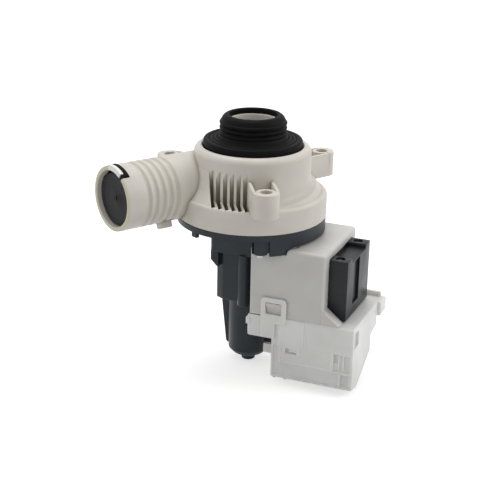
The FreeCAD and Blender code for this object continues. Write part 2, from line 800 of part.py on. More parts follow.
def rotor_can():
    """Closed can round the rotor, with two fins and a domed end."""
    points = [(0, NUB_BOTTOM), (NUB_R, NUB_BOTTOM), (NUB_R, DOME_BOTTOM), (DOME_R, DOME_BOTTOM)]
    points += [(CAN_R, CAN_BOTTOM), (CAN_R, -1), (0, -1)]
    fin = [(-FIN_R_TOP, FIN_TOP), (-FIN_R_BOTTOM, FIN_BOTTOM + 2), (-CAN_R + 1, FIN_BOTTOM),
           (CAN_R - 1, FIN_BOTTOM), (FIN_R_BOTTOM, FIN_BOTTOM + 2), (FIN_R_TOP, FIN_TOP),
           (CAN_R - 1, FIN_TOP + 5), (-CAN_R + 1, FIN_TOP + 5)]
    return fused(turned(points), side_slab(fin, -FIN_T / 2, FIN_T / 2))


def rotor_housing():
    body = fused(housing_flange(), housing_head(), stator_box(), rotor_can())
    cuts = [drum(CAN_BORE_R, CAN_FLOOR, 1),
            drum(SEAL_R + SEAL_W / 2 + FIT, -SEAL_H, 1),
            drum(BEARING_R, rear_bearing_top() - BEARING_L, CAN_FLOOR + 1)]
    for a in ear_azimuths():
        cuts.append(turn(drum(SCREW_SHANK_R + FIT, SCREW_BOSS_BOTTOM - 1, 1, SCREW_CIRCLE_R), a))
    return body.cut(cuts)


def core_outline():
    """Plan of the U-shaped core: two pole arms round the can and the yoke behind the coils."""
    tip = math.sqrt(POLE_R ** 2 - POLE_TIP_X ** 2)
    end = math.radians(POLE_END_ANGLE)
    ex = POLE_R * math.cos(end)
    ey = POLE_R * math.sin(end)
    return [(-POLE_TIP_X, tip), (0, POLE_R, ex, ey), (ARM_START_X, ARM_IN), (YOKE_X, ARM_IN),
            (YOKE_X, -ARM_IN), (ARM_START_X, -ARM_IN), (ex, -ey),
            (0, -POLE_R, -POLE_TIP_X, -tip), (-POLE_TIP_X, -POLE_OUT + BOX_TAPER / 2),
            (-POLE_TIP_X / 2, -POLE_OUT), (POLE_SHOULDER_X, -POLE_OUT),
            (ARM_START_X, -ARM_OUT), (YOKE_END_X, -ARM_OUT), (YOKE_END_X, ARM_OUT),
            (ARM_START_X, ARM_OUT), (POLE_SHOULDER_X, POLE_OUT), (-POLE_TIP_X / 2, POLE_OUT),
            (-POLE_TIP_X, POLE_OUT - BOX_TAPER / 2)]


def stator_core():
    body = slab(core_outline(), STACK_BOTTOM, STACK_TOP)
    holes = [drum(BOLT_R + FIT, STACK_BOTTOM - 1, STACK_TOP + 1, BOLT_X, y)
             for y in (-BOLT_Y, BOLT_Y)]
    return body.cut(holes)


def bobbin_section(grow):
    """Rectangle round one pole arm, larger by the given amount on each side."""
    return (ARM_IN - grow, ARM_OUT + grow, STACK_BOTTOM - grow, STACK_TOP + grow)


def coil_bobbin():
    """Bobbin on the arm at positive y, with flanges that fill the cover."""
    y0, y1, z0, z1 = bobbin_section(FIT + BOBBIN_WALL)
    core = block(BOBBIN_START, BOBBIN_END, y0, y1, z0, z1)
    side = COVER_Y - COVER_WALL - LOOSE
    parts = []
    for x in (BOBBIN_START, BOBBIN_END - BOBBIN_FLANGE):
        parts.append(block(x, x + BOBBIN_FLANGE, LOOSE, side, COVER_BOTTOM + LOOSE,
                           COVER_TOP - COVER_WALL - LOOSE))
    y0, y1, z0, z1 = bobbin_section(FIT)
    hole = block(BOBBIN_START - 1, BOBBIN_END + 1, y0, y1, z0, z1)
    return fused(core, *parts).cut(hole)


def winding():
    """Copper winding between the bobbin's flanges."""
    y0, y1, z0, z1 = bobbin_section(FIT + BOBBIN_WALL + FIT)
    x0 = BOBBIN_START + BOBBIN_FLANGE + FIT
    x1 = BOBBIN_END - BOBBIN_FLANGE - FIT
    outer = block(x0, x1, y0 - COIL_T, y1 + COIL_T, z0 - COIL_T, z1 + COIL_T)
    outer = rounded(outer, COIL_ROUND, lambda p, e: abs(p.x - (x0 + x1) / 2) < 0.1)
    outer = outer.common(block(x0, x1, y0 - COIL_T, y1 + COIL_T, COVER_BOTTOM + LOOSE, 0))
    return outer.cut(block(x0, x1, y0, y1, z0, z1))


def thermal_cutout():
    """Flat thermal switch on top of the front winding."""
    middle = (BOBBIN_START + BOBBIN_END) / 2
    base = STACK_TOP + 2 * FIT + BOBBIN_WALL + COIL_T + 0.05
    body = block(middle - CUTOUT_L / 2, middle + CUTOUT_L / 2, -ARM_MID - CUTOUT_W / 2,
                 -ARM_MID + CUTOUT_W / 2, base, base + CUTOUT_H)
    return rounded(body, 0.8, lambda p, e: p.z > base + CUTOUT_H - 0.1)


def motor_cover():
    """Box over the coils, open below and towards the can, with a window for the yoke."""
    body = block(COVER_START, COVER_END, -COVER_Y, COVER_Y, COVER_BOTTOM, COVER_TOP)
    body = rounded(body, COVER_ROUND, lambda p, e: p.z > COVER_TOP - 0.1
                   or (p.x > COVER_END - 0.1 and abs(p.y) > COVER_Y - 0.1))
    wall = COVER_WALL
    room = block(COVER_START - 1, COVER_END - wall, -COVER_Y + wall, COVER_Y - wall,
                 COVER_BOTTOM - 1, COVER_TOP - wall)
    window = block(COVER_END - wall - 1, COVER_END + 1, -CAP_Y - LOOSE, CAP_Y + LOOSE,
                   COVER_BOTTOM - 1, CAP_CORNER_TOP + LOOSE)
    catch_z = LOOP_TOP - LOOP_BAND - CATCH_GAP
    x0 = LOOP_FIRST + LOOP_BAND + CATCH_GAP
    x1 = LOOP_LAST - LOOP_BAND - CATCH_GAP
    catch = end_slab([(-COVER_Y + 0.5, catch_z), (-COVER_Y - LOOP_T, catch_z),
                      (-COVER_Y - LOOP_T, catch_z - 1.5), (-COVER_Y + 0.5, catch_z - 6)], x0, x1)
    wedge = side_slab([(COVER_END - 1, WEDGE_TOP), (COVER_END + WEDGE_REACH, COVER_BOTTOM + 1),
                       (COVER_END + WEDGE_REACH, COVER_BOTTOM), (COVER_END - 1, COVER_BOTTOM)],
                      -COVER_Y, -CAP_Y - LOOSE)
    rooms = [turn(drum(SCREW_BOSS_R + LOOSE, SCREW_BOSS_BOTTOM - SCREW_HEAD_H - LOOSE, 0,
                       SCREW_CIRCLE_R), a) for a in ear_azimuths()]
    rooms.append(drum(CAN_R + LOOSE, COVER_BOTTOM, 0))
    shell = body.cut([room, window])
    return fused(shell, catch, mirrored(catch), wedge, mirrored(wedge)).cut(rooms)


def yoke_cap():
    """Moulded cap over the yoke, with raised corners for the clamping bolts."""
    x0 = COVER_END - COVER_WALL
    body = block(x0, CAP_END, -CAP_Y, CAP_Y, CAP_BOTTOM, CAP_TOP)
    corners = []
    for y in (-CAP_Y, CAP_Y - CAP_CORNER):
        corners.append(block(x0, CAP_END, y, y + CAP_CORNER, CAP_TOP - 1, CAP_CORNER_TOP))
    body = fused(body, *corners)
    room = block(x0 - 1, YOKE_END_X + FIT, -ARM_OUT - FIT, ARM_OUT + FIT, STACK_BOTTOM - FIT,
                 STACK_TOP + FIT)
    slot = block(CAP_END - CAP_SLOT_DEPTH, CAP_END + 1, -CAP_SLOT_Y - CAP_SLOT_W / 2,
                 -CAP_SLOT_Y + CAP_SLOT_W / 2, CAP_SLOT_BOTTOM, CAP_SLOT_TOP)
    holes = []
    for y in (-BOLT_Y, BOLT_Y):
        holes.append(drum(BOLT_R + FIT, STACK_TOP, CAP_CORNER_TOP + 1, BOLT_X, y))
        holes.append(drum(BOLT_WELL_R, bolt_seat(), CAP_CORNER_TOP + 1, BOLT_X, y))
    return body.cut([room, slot] + holes)


def bolt_seat():
    return CAP_CORNER_TOP - BOLT_HEAD_H - BOLT_SUNK


def yoke_bolts():
    bolts = []
    for y in (-BOLT_Y, BOLT_Y):
        bolt = hex_screw(BOLT_R, BOLT_HEAD_W, BOLT_HEAD_H, bolt_seat(), STACK_BOTTOM)
        bolt.translate(V(BOLT_X, y, 0))
        bolts.append(bolt)
    return Part.makeCompound(bolts)


def shroud_profile(inset):
    """Side view of the shroud in Y and Z, moved inwards by the wall."""
    return [(-COVER_Y + inset, COVER_BOTTOM - inset), (-COVER_Y + inset, SHROUD_BOTTOM),
            (SHROUD_TIP_Y, SHROUD_TIP_Z), (SHROUD_HEEL_Y - inset, SHROUD_HEEL_Z),
            (SHROUD_HEEL_Y - inset, SHROUD_STEP_Z + inset),
            (SHROUD_SHELF_Y - inset, SHROUD_STEP_Z + 3 + inset),
            (SHROUD_SHELF_Y - inset, SHROUD_SHELF_Z + inset),
            (COVER_Y - inset, SHROUD_SHELF_Z + 1 + inset), (COVER_Y - inset, COVER_BOTTOM - inset)]


def shroud_reliefs():
    """Raised pad in front, small feet below, the end latch and the tab beside the can."""
    pad = block(PAD_FIRST, PAD_LAST, -COVER_Y - PANEL_DEPTH, -COVER_Y + 1, PAD_BOTTOM,
                COVER_BOTTOM - FIT)
    latch = block(SHROUD_END - 1, SHROUD_END + END_LATCH_T, END_LATCH_Y, COVER_Y,
                  END_LATCH_BOTTOM, COVER_BOTTOM)
    feet = [drum(FOOT_R, SHROUD_BOTTOM - FOOT_R, SHROUD_BOTTOM + 1, SHROUD_START + x,
                 -COVER_Y + FOOT_R + 0.2) for x in (2.5, 10.5)]
    tab = block(ARM_TAB_START, SHROUD_START + 1, ARM_TAB_Y, ARM_TAB_Y + ARM_TAB_T,
                ARM_TAB_BOTTOM, ARM_TAB_TOP)
    return [pad, latch, tab] + feet


def shroud_recesses():
    """Sunk border round the front panel, the notch below the pad and the slot in the end."""
    face = -COVER_Y - 1
    floor = -COVER_Y + PANEL_DEPTH
    band = block(SHROUD_START - 1, SHROUD_END - 1, face, floor, SHROUD_BOTTOM + 1, PANEL_BOTTOM)
    left = block(SHROUD_START - 1, PANEL_FIRST, face, floor, PANEL_BOTTOM, PAD_BOTTOM)
    corner = block(PANEL_LAST, SHROUD_END - 1, face, floor, PANEL_BOTTOM, PANEL_CORNER)
    keep = [block(x, x + LATTICE_W, face, floor + 1, PANEL_BOTTOM + 2 * LATTICE_STEP,
                  PANEL_CORNER - LATTICE_W)
            for x in (PANEL_LAST + LATTICE_STEP, PANEL_LAST + 2 * LATTICE_STEP)]
    corner = corner.cut(keep)
    notch = block(NOTCH_FIRST, NOTCH_LAST, face, floor + 0.5, NOTCH_BOTTOM, NOTCH_TOP)
    notch = notch.cut(block(NOTCH_FIRST + 2.5, NOTCH_LAST + 1, face, floor + 1,
                            NOTCH_BOTTOM + 1.6, NOTCH_TOP))
    slot = block(SHROUD_END - PANEL_DEPTH, SHROUD_END + 1, END_SLOT_FIRST, END_SLOT_LAST,
                 END_SLOT_BOTTOM, END_SLOT_TOP)
    return [band, left, corner, notch, slot]


def terminal_shroud():
    """Hood under the cover that shields the terminals and snaps on with two loops."""
    wall = SHROUD_WALL
    outer = end_slab(shroud_profile(0), SHROUD_START, SHROUD_END)
    inner = end_slab(shroud_profile(wall), SHROUD_START + wall, SHROUD_END - wall)
    mouth = end_slab([(-COVER_Y + wall, SHROUD_BOTTOM + 8), (-COVER_Y + wall, SHROUD_TIP_Z - 5),
                      (SHROUD_HEEL_Y - wall, SHROUD_TIP_Z - 5),
                      (SHROUD_HEEL_Y - wall, SHROUD_HEEL_Z + 8)],
                     SHROUD_START + wall, SHROUD_END - wall)
    wing = block(WING_START, SHROUD_START + wall, -COVER_Y, -COVER_Y + WING_T, WING_BOTTOM,
                 WING_TOP)
    face = -COVER_Y - FIT
    band = block(LOOP_FIRST, LOOP_LAST, face - LOOP_T, face, WING_TOP - 3, LOOP_TOP)
    hole = block(LOOP_FIRST + LOOP_BAND, LOOP_LAST - LOOP_BAND, face - LOOP_T - 1, face + 1,
                 COVER_BOTTOM + 2, LOOP_TOP - LOOP_BAND)
    foot = block(LOOP_FIRST, LOOP_LAST, face - LOOP_T, -COVER_Y + wall, WING_TOP - LOOP_BAND,
                 COVER_BOTTOM - FIT)
    leg = block(LOOP_FIRST, LOOP_FOOT_END, face - LOOP_T, -COVER_Y + wall, LOOP_FOOT_Z,
                COVER_BOTTOM - FIT)
    loop = fused(band.cut(hole), foot, leg)
    back_foot = block(LOOP_FIRST, LOOP_LAST, COVER_Y - wall, -face + LOOP_T, SHROUD_SHELF_Z + 1,
                      COVER_BOTTOM - FIT)
    back_loop = fused(mirrored(band.cut(hole)), back_foot)
    block_x0 = SPADE_X[0] - BLOCK_HALF_X - LOOSE
    block_x1 = SPADE_X[1] + BLOCK_HALF_X + LOOSE
    terminal_hole = block(block_x0, block_x1, SPADE_Y - BLOCK_HALF_Y - LOOSE,
                          SPADE_Y + BLOCK_HALF_Y + LOOSE, COVER_BOTTOM - wall - 1,
                          COVER_BOTTOM + 1)
    shell = outer.cut([inner, mouth, terminal_hole])
    return fused(shell, wing, loop, back_loop, *shroud_reliefs()).cut(shroud_recesses())


def terminal_block():
    """Insulating block between the bobbins and the two spade terminals."""
    x0 = SPADE_X[0] - BLOCK_HALF_X
    x1 = SPADE_X[1] + BLOCK_HALF_X
    body = block(x0, x1, SPADE_Y - BLOCK_HALF_Y, SPADE_Y + BLOCK_HALF_Y, BLOCK_BOTTOM,
                 COVER_BOTTOM + LOOSE)
    slots = [block(x - BLADE_W / 2 - FIT, x + BLADE_W / 2 + FIT, SPADE_Y - SPADE_T / 2 - FIT,
                   SPADE_Y + SPADE_T / 2 + FIT, BLOCK_BOTTOM - 1, SPADE_TOP) for x in SPADE_X]
    return body.cut(slots)


def spade_terminals():
    blades = []
    taper = 1.2
    for x in SPADE_X:
        half = BLADE_W / 2
        points = [(x - half, SPADE_TOP), (x - half, SPADE_BOTTOM + taper),
                  (x - half + taper, SPADE_BOTTOM), (x + half - taper, SPADE_BOTTOM),
                  (x + half, SPADE_BOTTOM + taper), (x + half, SPADE_TOP)]
        blade = side_slab(points, SPADE_Y - SPADE_T / 2, SPADE_Y + SPADE_T / 2)
        eye = Part.makeCylinder(0.9, 4 * SPADE_T, V(x, SPADE_Y - 2 * SPADE_T, SPADE_BOTTOM + 4),
                                V(0, 1, 0))
        blades.append(blade.cut(eye))
    return Part.makeCompound(blades)


PIECES = {
    "volute_housing": volute_housing,
    "inlet_sleeve": inlet_sleeve,
    "valve_ring": valve_ring,
    "valve_flap": valve_flap,
    "flap_button": flap_button,
    "impeller": impeller,
    "impeller_driver": impeller_driver,
    "impeller_clip": impeller_clip,
    "rotor_shaft": rotor_shaft,
    "rotor_magnet": rotor_magnet,
    "front_bearing": lambda: bearing(front_bearing_top()),
    "rear_bearing": lambda: bearing(rear_bearing_top()),
    "bearing_holder": bearing_holder,
    "rotor_housing": rotor_housing,
    "housing_seal": housing_seal,
    "housing_screws": housing_screws,
    "stator_core": stator_core,
    "bobbin_rear": coil_bobbin,
    "bobbin_front": lambda: mirrored(coil_bobbin()),
    "winding_rear": winding,
    "winding_front": lambda: mirrored(winding()),
    "thermal_cutout": thermal_cutout,
    "motor_cover": motor_cover,
    "yoke_cap": yoke_cap,
    "yoke_bolts": yoke_bolts,
    "terminal_shroud": terminal_shroud,
    "terminal_block": terminal_block,
    "spade_terminals": spade_terminals,
}

os.makedirs("parts", exist_ok=True)
for name, make in PIECES.items():
    shape = make().copy()
    shape.translate(V(0, 0, -EAR_TOP))
    shape.exportStep("parts/" + name + ".step")
    box = shape.BoundBox
    print("%-20s solids %d valid %s volume %.0f z %.1f to %.1f" % (
        name, len(shape.Solids), shape.isValid(), shape.Volume, box.ZMin, box.ZMax))
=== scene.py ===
# %% [markdown]
# This is the drain pump of a washing machine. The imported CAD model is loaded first, as a
# fixed frame whose nodes say where everything is and what moves. The looks could be added
# to those nodes one by one, but most outer pieces are modelled anew around them, because
# their soft corners, ridges and slots are finer than the CAD solids.

# %% The frame
import json
from collections import Counter
from math import acos, atan2, copysign, cos, degrees, pi, radians, sin, sqrt

import bpy
from mathutils import Matrix, Vector

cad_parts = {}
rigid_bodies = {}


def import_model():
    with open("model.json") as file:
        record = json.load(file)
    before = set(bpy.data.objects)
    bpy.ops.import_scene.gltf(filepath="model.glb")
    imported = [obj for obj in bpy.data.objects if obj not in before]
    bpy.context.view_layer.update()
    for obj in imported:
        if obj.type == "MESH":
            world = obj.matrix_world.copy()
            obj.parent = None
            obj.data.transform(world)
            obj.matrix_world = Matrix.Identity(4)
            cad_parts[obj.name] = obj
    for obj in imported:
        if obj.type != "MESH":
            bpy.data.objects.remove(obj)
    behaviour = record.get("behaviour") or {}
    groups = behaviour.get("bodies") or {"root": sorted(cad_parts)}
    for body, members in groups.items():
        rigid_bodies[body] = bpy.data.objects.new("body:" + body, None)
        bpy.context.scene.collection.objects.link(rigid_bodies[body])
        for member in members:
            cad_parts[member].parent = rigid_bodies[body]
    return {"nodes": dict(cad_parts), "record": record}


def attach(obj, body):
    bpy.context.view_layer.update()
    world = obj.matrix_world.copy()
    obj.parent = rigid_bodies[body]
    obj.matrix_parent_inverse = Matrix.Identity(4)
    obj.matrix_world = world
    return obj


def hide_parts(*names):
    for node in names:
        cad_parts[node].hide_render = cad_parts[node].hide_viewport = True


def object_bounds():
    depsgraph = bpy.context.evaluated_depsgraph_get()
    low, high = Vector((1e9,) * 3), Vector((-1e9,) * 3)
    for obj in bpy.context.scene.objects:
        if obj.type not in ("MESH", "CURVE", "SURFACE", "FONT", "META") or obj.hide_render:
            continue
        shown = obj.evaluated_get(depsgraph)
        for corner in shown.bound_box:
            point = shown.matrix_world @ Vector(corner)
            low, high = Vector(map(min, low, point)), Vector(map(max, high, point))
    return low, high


bpy.ops.object.select_all(action="SELECT")
bpy.ops.object.delete()
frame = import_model()
cad_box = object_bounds()
print("CAD nodes:", len(frame["nodes"]), "box:", cad_box)

# %% [markdown]
# The sizes are those of a workshop drawing, in millimetres over the joint plane between
# the casing and the motor housing. They could be written in Blender's metres, but then
# every value would be a long decimal. The CAD model stands with its ear tops at zero, so
# one function turns a place of the drawing into Blender's.

# %% Sizes and places
MM = 0.001
EAR_TOP = 33.9
DOUBLE = 0.002 * MM
X, Y, Z = range(3)


def point(x, y, z):
    """A place in metres from millimetres over the joint plane."""
    return Vector((x * MM, y * MM, (z - EAR_TOP) * MM))


print("the joint plane lies at", point(0, 0, 0).z)

# %% [markdown]
# The camera stands where the picture was taken from. It could be moved by eye until the
# outlines agree, but the ellipses of the round parts and the straight edges of the box
# give its turn, its height and its lens. So these are numbers here, and the camera's axes
# are worked out from them.

# %% The camera
CAMERA_ANGLES = (22.236, 20.754, 1.086)
CAMERA_PLACE = (0.29859, -0.75268, 0.23804)
CAMERA_LENS = 88.09
CAMERA_SHIFT = (0.0231, 0.0155)


def camera_axes(turn, height, roll):
    """Directions to the right, up and back of a camera that is turned, raised and rolled."""
    a, e, r = (radians(v) for v in (turn, height, roll))
    back = Vector((sin(a) * cos(e), -cos(a) * cos(e), sin(e)))
    right = Vector((cos(a), sin(a), 0.0))
    up = back.cross(right)
    return right * cos(r) + up * sin(r), up * cos(r) - right * sin(r), back


bpy.ops.object.camera_add()
camera = bpy.context.object
camera.name = "camera"
camera.matrix_world = (Matrix.Translation(Vector(CAMERA_PLACE))
                       @ Matrix(camera_axes(*CAMERA_ANGLES)).transposed().to_4x4())
camera.data.lens = CAMERA_LENS
camera.data.sensor_width = 36.0
camera.data.shift_x, camera.data.shift_y = CAMERA_SHIFT
camera.data.clip_end = 20.0
bpy.context.scene.camera = camera
print("camera at", CAMERA_PLACE, "lens", CAMERA_LENS)

# %% [markdown]
# A finish is a web of shader nodes. It could be put together node by node, but its maths
# reads better as Python: `Wire` wraps one output socket, and a sum or product of wires
# adds the Math nodes. Every other node comes from one method, so all finishes are written
# in the same few words.

# %% A small language for shader nodes
class Wire:
    def __init__(self, finish, socket):
        self.finish = finish
        self.socket = socket

    def __add__(self, other):
        return self.finish.add("Math", {0: self, 1: other}, operation="ADD")

    def __mul__(self, other):
        return self.finish.add("Math", {0: self, 1: other}, operation="MULTIPLY")

    __radd__ = __add__
    __rmul__ = __mul__


class Finish:
    """The nodes of one material or world. `add` puts in a node with its sockets' values or
    wires and its settings, and gives the wire of one output."""

    def __init__(self, owner):
        owner.use_nodes = True
        self.owner = owner
        self.tree = owner.node_tree
        self.tree.nodes.clear()

    def add(self, kind, sockets=None, output=0, **settings):
        node = self.tree.nodes.new("ShaderNode" + kind)
        for key, value in settings.items():
            setattr(node, key, value)
        for key, value in (sockets or {}).items():
            if isinstance(value, Wire):
                self.tree.links.new(value.socket, node.inputs[key])
            else:
                node.inputs[key].default_value = value
        return Wire(self, node.outputs[output]) if node.outputs else None

    def place(self, scale=(1, 1, 1), turn=(0, 0, 0)):
        """Object coordinates in millimetres, stretched and turned as asked."""
        return self.add("Mapping", {"Vector": self.add("TexCoord", output="Object"),
                                    "Scale": tuple(s / MM for s in scale), "Rotation": turn})

    def noise(self, size, detail=3.0, rough=0.5, where=None):
        """Cloudy pattern whose blobs are about this many millimetres wide, from 0 to 1."""
        return self.add("TexNoise", {"Vector": where or self.place(), "Scale": 1.0 / size,
                                     "Detail": detail, "Roughness": rough})

    def ramp(self, value, low, high, at_low=0.0, at_high=1.0):
        return self.add("MapRange", {"Value": value, "From Min": low, "From Max": high,
                                     "To Min": at_low, "To Max": at_high})

    def dot(self, first, second):
        return self.add("VectorMath", {0: first, 1: second}, "Value", operation="DOT_PRODUCT")

    def blend(self, amount, first, second):
        """Mix of two colours. A colour is a wire or three numbers."""
        first, second = (c if isinstance(c, Wire) else (*c, 1.0) for c in (first, second))
        return self.add("Mix", {0: amount, 6: first, 7: second}, 2, data_type="RGBA")

    def bump(self, height, depth, base=None):
        """Relief of the given depth in millimetres."""
        sockets = {"Height": height, "Distance": depth * MM, "Strength": 1.0}
        return self.add("Bump", {**sockets, "Normal": base} if base else sockets)

    def done(self, sockets):
        self.add("OutputMaterial", {"Surface": self.add("BsdfPrincipled", sockets)})
        return self.owner


def new_finish(name):
    return Finish(bpy.data.materials.new(name))


print("shader helpers ready")

# %% [markdown]
# The casing, the hood and the covers are moulded plastic. One colour would do for a
# sketch, but a moulding is never one flat tone: it clouds softly where the melt cooled,
# carries a fine spark-eroded grain, and dirt settles into the grain as darker specks. All
# the plastics share this, so one recipe makes them, and some add to it: painted light on
# their edges, painted shade in the grooves, or a darker yellow band at the mouth.

# %% Moulded plastics
MOUTH_TURN = 239.0
mouth_way = (cos(radians(MOUTH_TURN)), sin(radians(MOUTH_TURN)), 0)


def moulded(name, colour, cloud, rough, grain=0.012, milky=0.0, speck=0.35, shine=0.5,
            painted_crease_shade=None, rim=None, edge=None):
    """Moulded plastic: clouded colour, eroded grain, faint flow marks and soft corners.
    A milky plastic lets more light through where it is thin, so with an edge colour its
    edges are painted paler: painted light. Grooves and slots are painted darker where the
    occlusion node finds walls close by: painted shade, with a brown tone like a film of
    dirt. The last millimetre before the outlet's mouth is tinted towards the rim colour."""
    plastic = new_finish(name)
    clouds = plastic.noise(26.0, 2.0)
    flow = plastic.noise(1.0, 4.0, 0.6, plastic.place((0.02, 0.02, 0.11), (0.3, 0.2, 0.0)))
    fine = plastic.noise(0.55, 2.0, 0.7)
    dirt = plastic.noise(1.7, 5.0, 0.75)
    tone = plastic.blend(plastic.ramp(clouds, 0.35, 0.65), colour, cloud)
    tone = plastic.blend(plastic.ramp(flow, 0.3, 0.8, 0.0, 0.35), tone, cloud)
    darker = tuple(0.72 * c for c in cloud)
    tone = plastic.blend(plastic.ramp(dirt, 0.66, 0.78, 0.0, speck), tone, darker)
    # Painted shade: where the occlusion node finds walls within 4 mm, as in grooves and slots, the
    # colour is darkened towards a brown tone.
    if painted_crease_shade:
        openness = plastic.add("AmbientOcclusion", {"Distance": 4.0 * MM}, "AO", samples=8,
                               only_local=True)
        tone = plastic.blend(plastic.ramp(openness, 0.25, 0.95, 0.9, 0.0), tone, painted_crease_shade)
    # A darker yellow band over the last millimetres before the mouth.
    if rim:
        along_mouth = plastic.dot(plastic.place(), mouth_way)
        tone = plastic.blend(plastic.ramp(along_mouth, 96.6, 98.2, 0.0, 0.7), tone, rim)
    # Painted light: within about a millimetre of an edge the colour is made paler, for the light
    # that comes through thin milky edges.
    if edge:
        broad = plastic.add("Bevel", {"Radius": 1.1 * MM}, samples=6)
        together = plastic.dot(broad, plastic.add("NewGeometry", output="Normal"))
        tone = plastic.blend(plastic.ramp(together, 0.999, 0.90, 0.0, 0.85), tone, edge)
    roughness = plastic.ramp(clouds, 0.3, 0.7, rough - 0.05, rough + 0.06) + fine * 0.06
    corner = plastic.add("Bevel", {"Radius": 0.4 * MM}, samples=4)
    relief = plastic.bump(flow, 0.05, plastic.bump(fine, grain, corner))
    sockets = {"Base Color": tone, "Roughness": roughness, "Normal": relief,
               "Specular IOR Level": shine}
    if milky:
        sockets.update({"Subsurface Weight": milky, "Subsurface Scale": 0.004,
                        "Subsurface Radius": (1.0, 0.85, 0.7)})
    return plastic.done(sockets)


finishes = {
    # The casing's brown tone for grooves and slots is painted shade.
    "casing_plastic": moulded("cream_casing_plastic", (0.67, 0.635, 0.58), (0.62, 0.585, 0.53),
                              0.42, milky=0.12, painted_crease_shade=(0.33, 0.29, 0.19),
                              rim=(0.55, 0.53, 0.37)),
    # The edge colours of the cover and the hood are painted light on their edges.
    "cover_plastic": moulded("milky_cover_plastic", (0.61, 0.605, 0.58), (0.56, 0.555, 0.53),
                             0.36, milky=0.3, edge=(0.78, 0.77, 0.73)),
    # The hood's plastic is painted paler than the cover's: painted light, for the brighter light
    # it gets from the floor and through its thin wall.
    "hood_plastic_painted_paler": moulded("thin_hood_plastic", (0.785, 0.785, 0.76), (0.70, 0.70, 0.68),
                            0.34, milky=0.35, edge=(0.90, 0.89, 0.85)),
    "housing_plastic": moulded("slate_housing_plastic", (0.024, 0.031, 0.038),
                               (0.019, 0.025, 0.031), 0.38, 0.02, shine=0.25),
    "cap_plastic": moulded("black_cap_plastic", (0.009, 0.010, 0.014), (0.006, 0.007, 0.010),
                           0.36, 0.02, shine=0.3),
    "impeller_plastic": moulded("grey_impeller_plastic", (0.30, 0.31, 0.32),
                                (0.24, 0.25, 0.26), 0.40),
    "white_tongue": moulded("white_tongue_plastic", (0.86, 0.86, 0.83), (0.82, 0.82, 0.79),
                            0.40, speck=0.1),
    "bobbin_plastic": moulded("ivory_bobbin_plastic", (0.60, 0.57, 0.48), (0.54, 0.51, 0.42),
                              0.40)}
print("plastics:", len(finishes))

# %% [markdown]
# The inlet sleeve and the check valve are rubber, which is dark and almost without shine,
# with a grey bloom where its wax comes to the surface. The bloom could be painted on each
# piece, but a cloudy pattern that lets a second, lighter tone through has no seams and
# fits every shape.

# %% Rubber
def rubber(name, colour, bloom, rough, shine):
    skin = new_finish(name)
    clouds = skin.noise(9.0, 4.0, 0.6)
    fine = skin.noise(0.4, 3.0, 0.6)
    tone = skin.blend(skin.ramp(clouds, 0.4, 0.75), colour, bloom)
    roughness = skin.ramp(clouds, 0.3, 0.7, rough, rough + 0.14)
    return skin.done({"Base Color": tone, "Roughness": roughness,
                      "Normal": skin.bump(fine, 0.02), "Specular IOR Level": shine})


finishes["black_rubber"] = rubber("sleeve_rubber", (0.0042, 0.0042, 0.0047),
                                  (0.0075, 0.0075, 0.008), 0.50, 0.07)
finishes["flap_rubber"] = rubber("flap_rubber", (0.017, 0.017, 0.019),
                                 (0.031, 0.031, 0.035), 0.50, 0.15)
print("with rubbers:", len(finishes))

# %% [markdown]
# The small parts are steel, brass, bronze and copper. Each could have a finish of its own
# making, but they differ only in colour and in how worn they are. So they share one
# recipe, a metal whose roughness and relief follow fine scratches. The magnet's ferrite
# is made in the same way, with less metal in it.

# %% Metals
def metal(name, colour, stain, rough, streak=(1, 1, 1), metallic=1.0):
    sheet = new_finish(name)
    clouds = sheet.noise(3.0, 4.0, 0.6)
    lines = sheet.noise(0.35, 2.0, 0.5, sheet.place(streak))
    tone = sheet.blend(sheet.ramp(clouds, 0.4, 0.8), colour, stain)
    return sheet.done({"Base Color": tone, "Metallic": metallic,
                       "Roughness": rough + lines * 0.18, "Normal": sheet.bump(lines, 0.006)})


finishes.update({
    "shaft_steel": metal("ground_shaft_steel", (0.62, 0.62, 0.63), (0.5, 0.5, 0.5), 0.2,
                         (0.2, 0.2, 2)),
    "spring_steel": metal("spring_steel", (0.45, 0.45, 0.46), (0.32, 0.31, 0.3), 0.3),
    "screw_steel": metal("zinc_screw_steel", (0.46, 0.47, 0.49), (0.30, 0.31, 0.33), 0.30),
    "core_steel": metal("core_sheet_steel", (0.30, 0.30, 0.31), (0.17, 0.15, 0.14), 0.42,
                        (0.1, 0.1, 2.4)),
    "bronze": metal("sintered_bronze", (0.55, 0.36, 0.16), (0.38, 0.24, 0.11), 0.42),
    "tin_brass": metal("tinned_brass", (0.68, 0.63, 0.50), (0.55, 0.49, 0.36), 0.24),
    "copper": metal("enamelled_copper", (0.58, 0.20, 0.07), (0.42, 0.13, 0.05), 0.26,
                    (2.4, 0.1, 0.1)),
    "ferrite": metal("dark_ferrite", (0.05, 0.05, 0.052), (0.035, 0.034, 0.034), 0.5,
                     metallic=0.2)})
print("with metals:", len(finishes))

# %% [markdown]
# The pieces inside stay as the CAD model gives them, with the finish of their material
# slot in the record. A new piece could be told its body and its slot by hand, but it asks
# for those of the node that it stands for, so it always moves as that node does.

# %% Finishes and bodies of the CAD nodes
slot_of = {part["node"]: part["material_slot"] for part in frame["record"]["subparts"]}
body_of = {member: body for body, members in frame["record"]["behaviour"]["bodies"].items()
           for member in members}


def dress(thing, slot):
    """Gives a piece the one finish of a slot."""
    thing.data.materials.clear()
    thing.data.materials.append(finishes[slot])


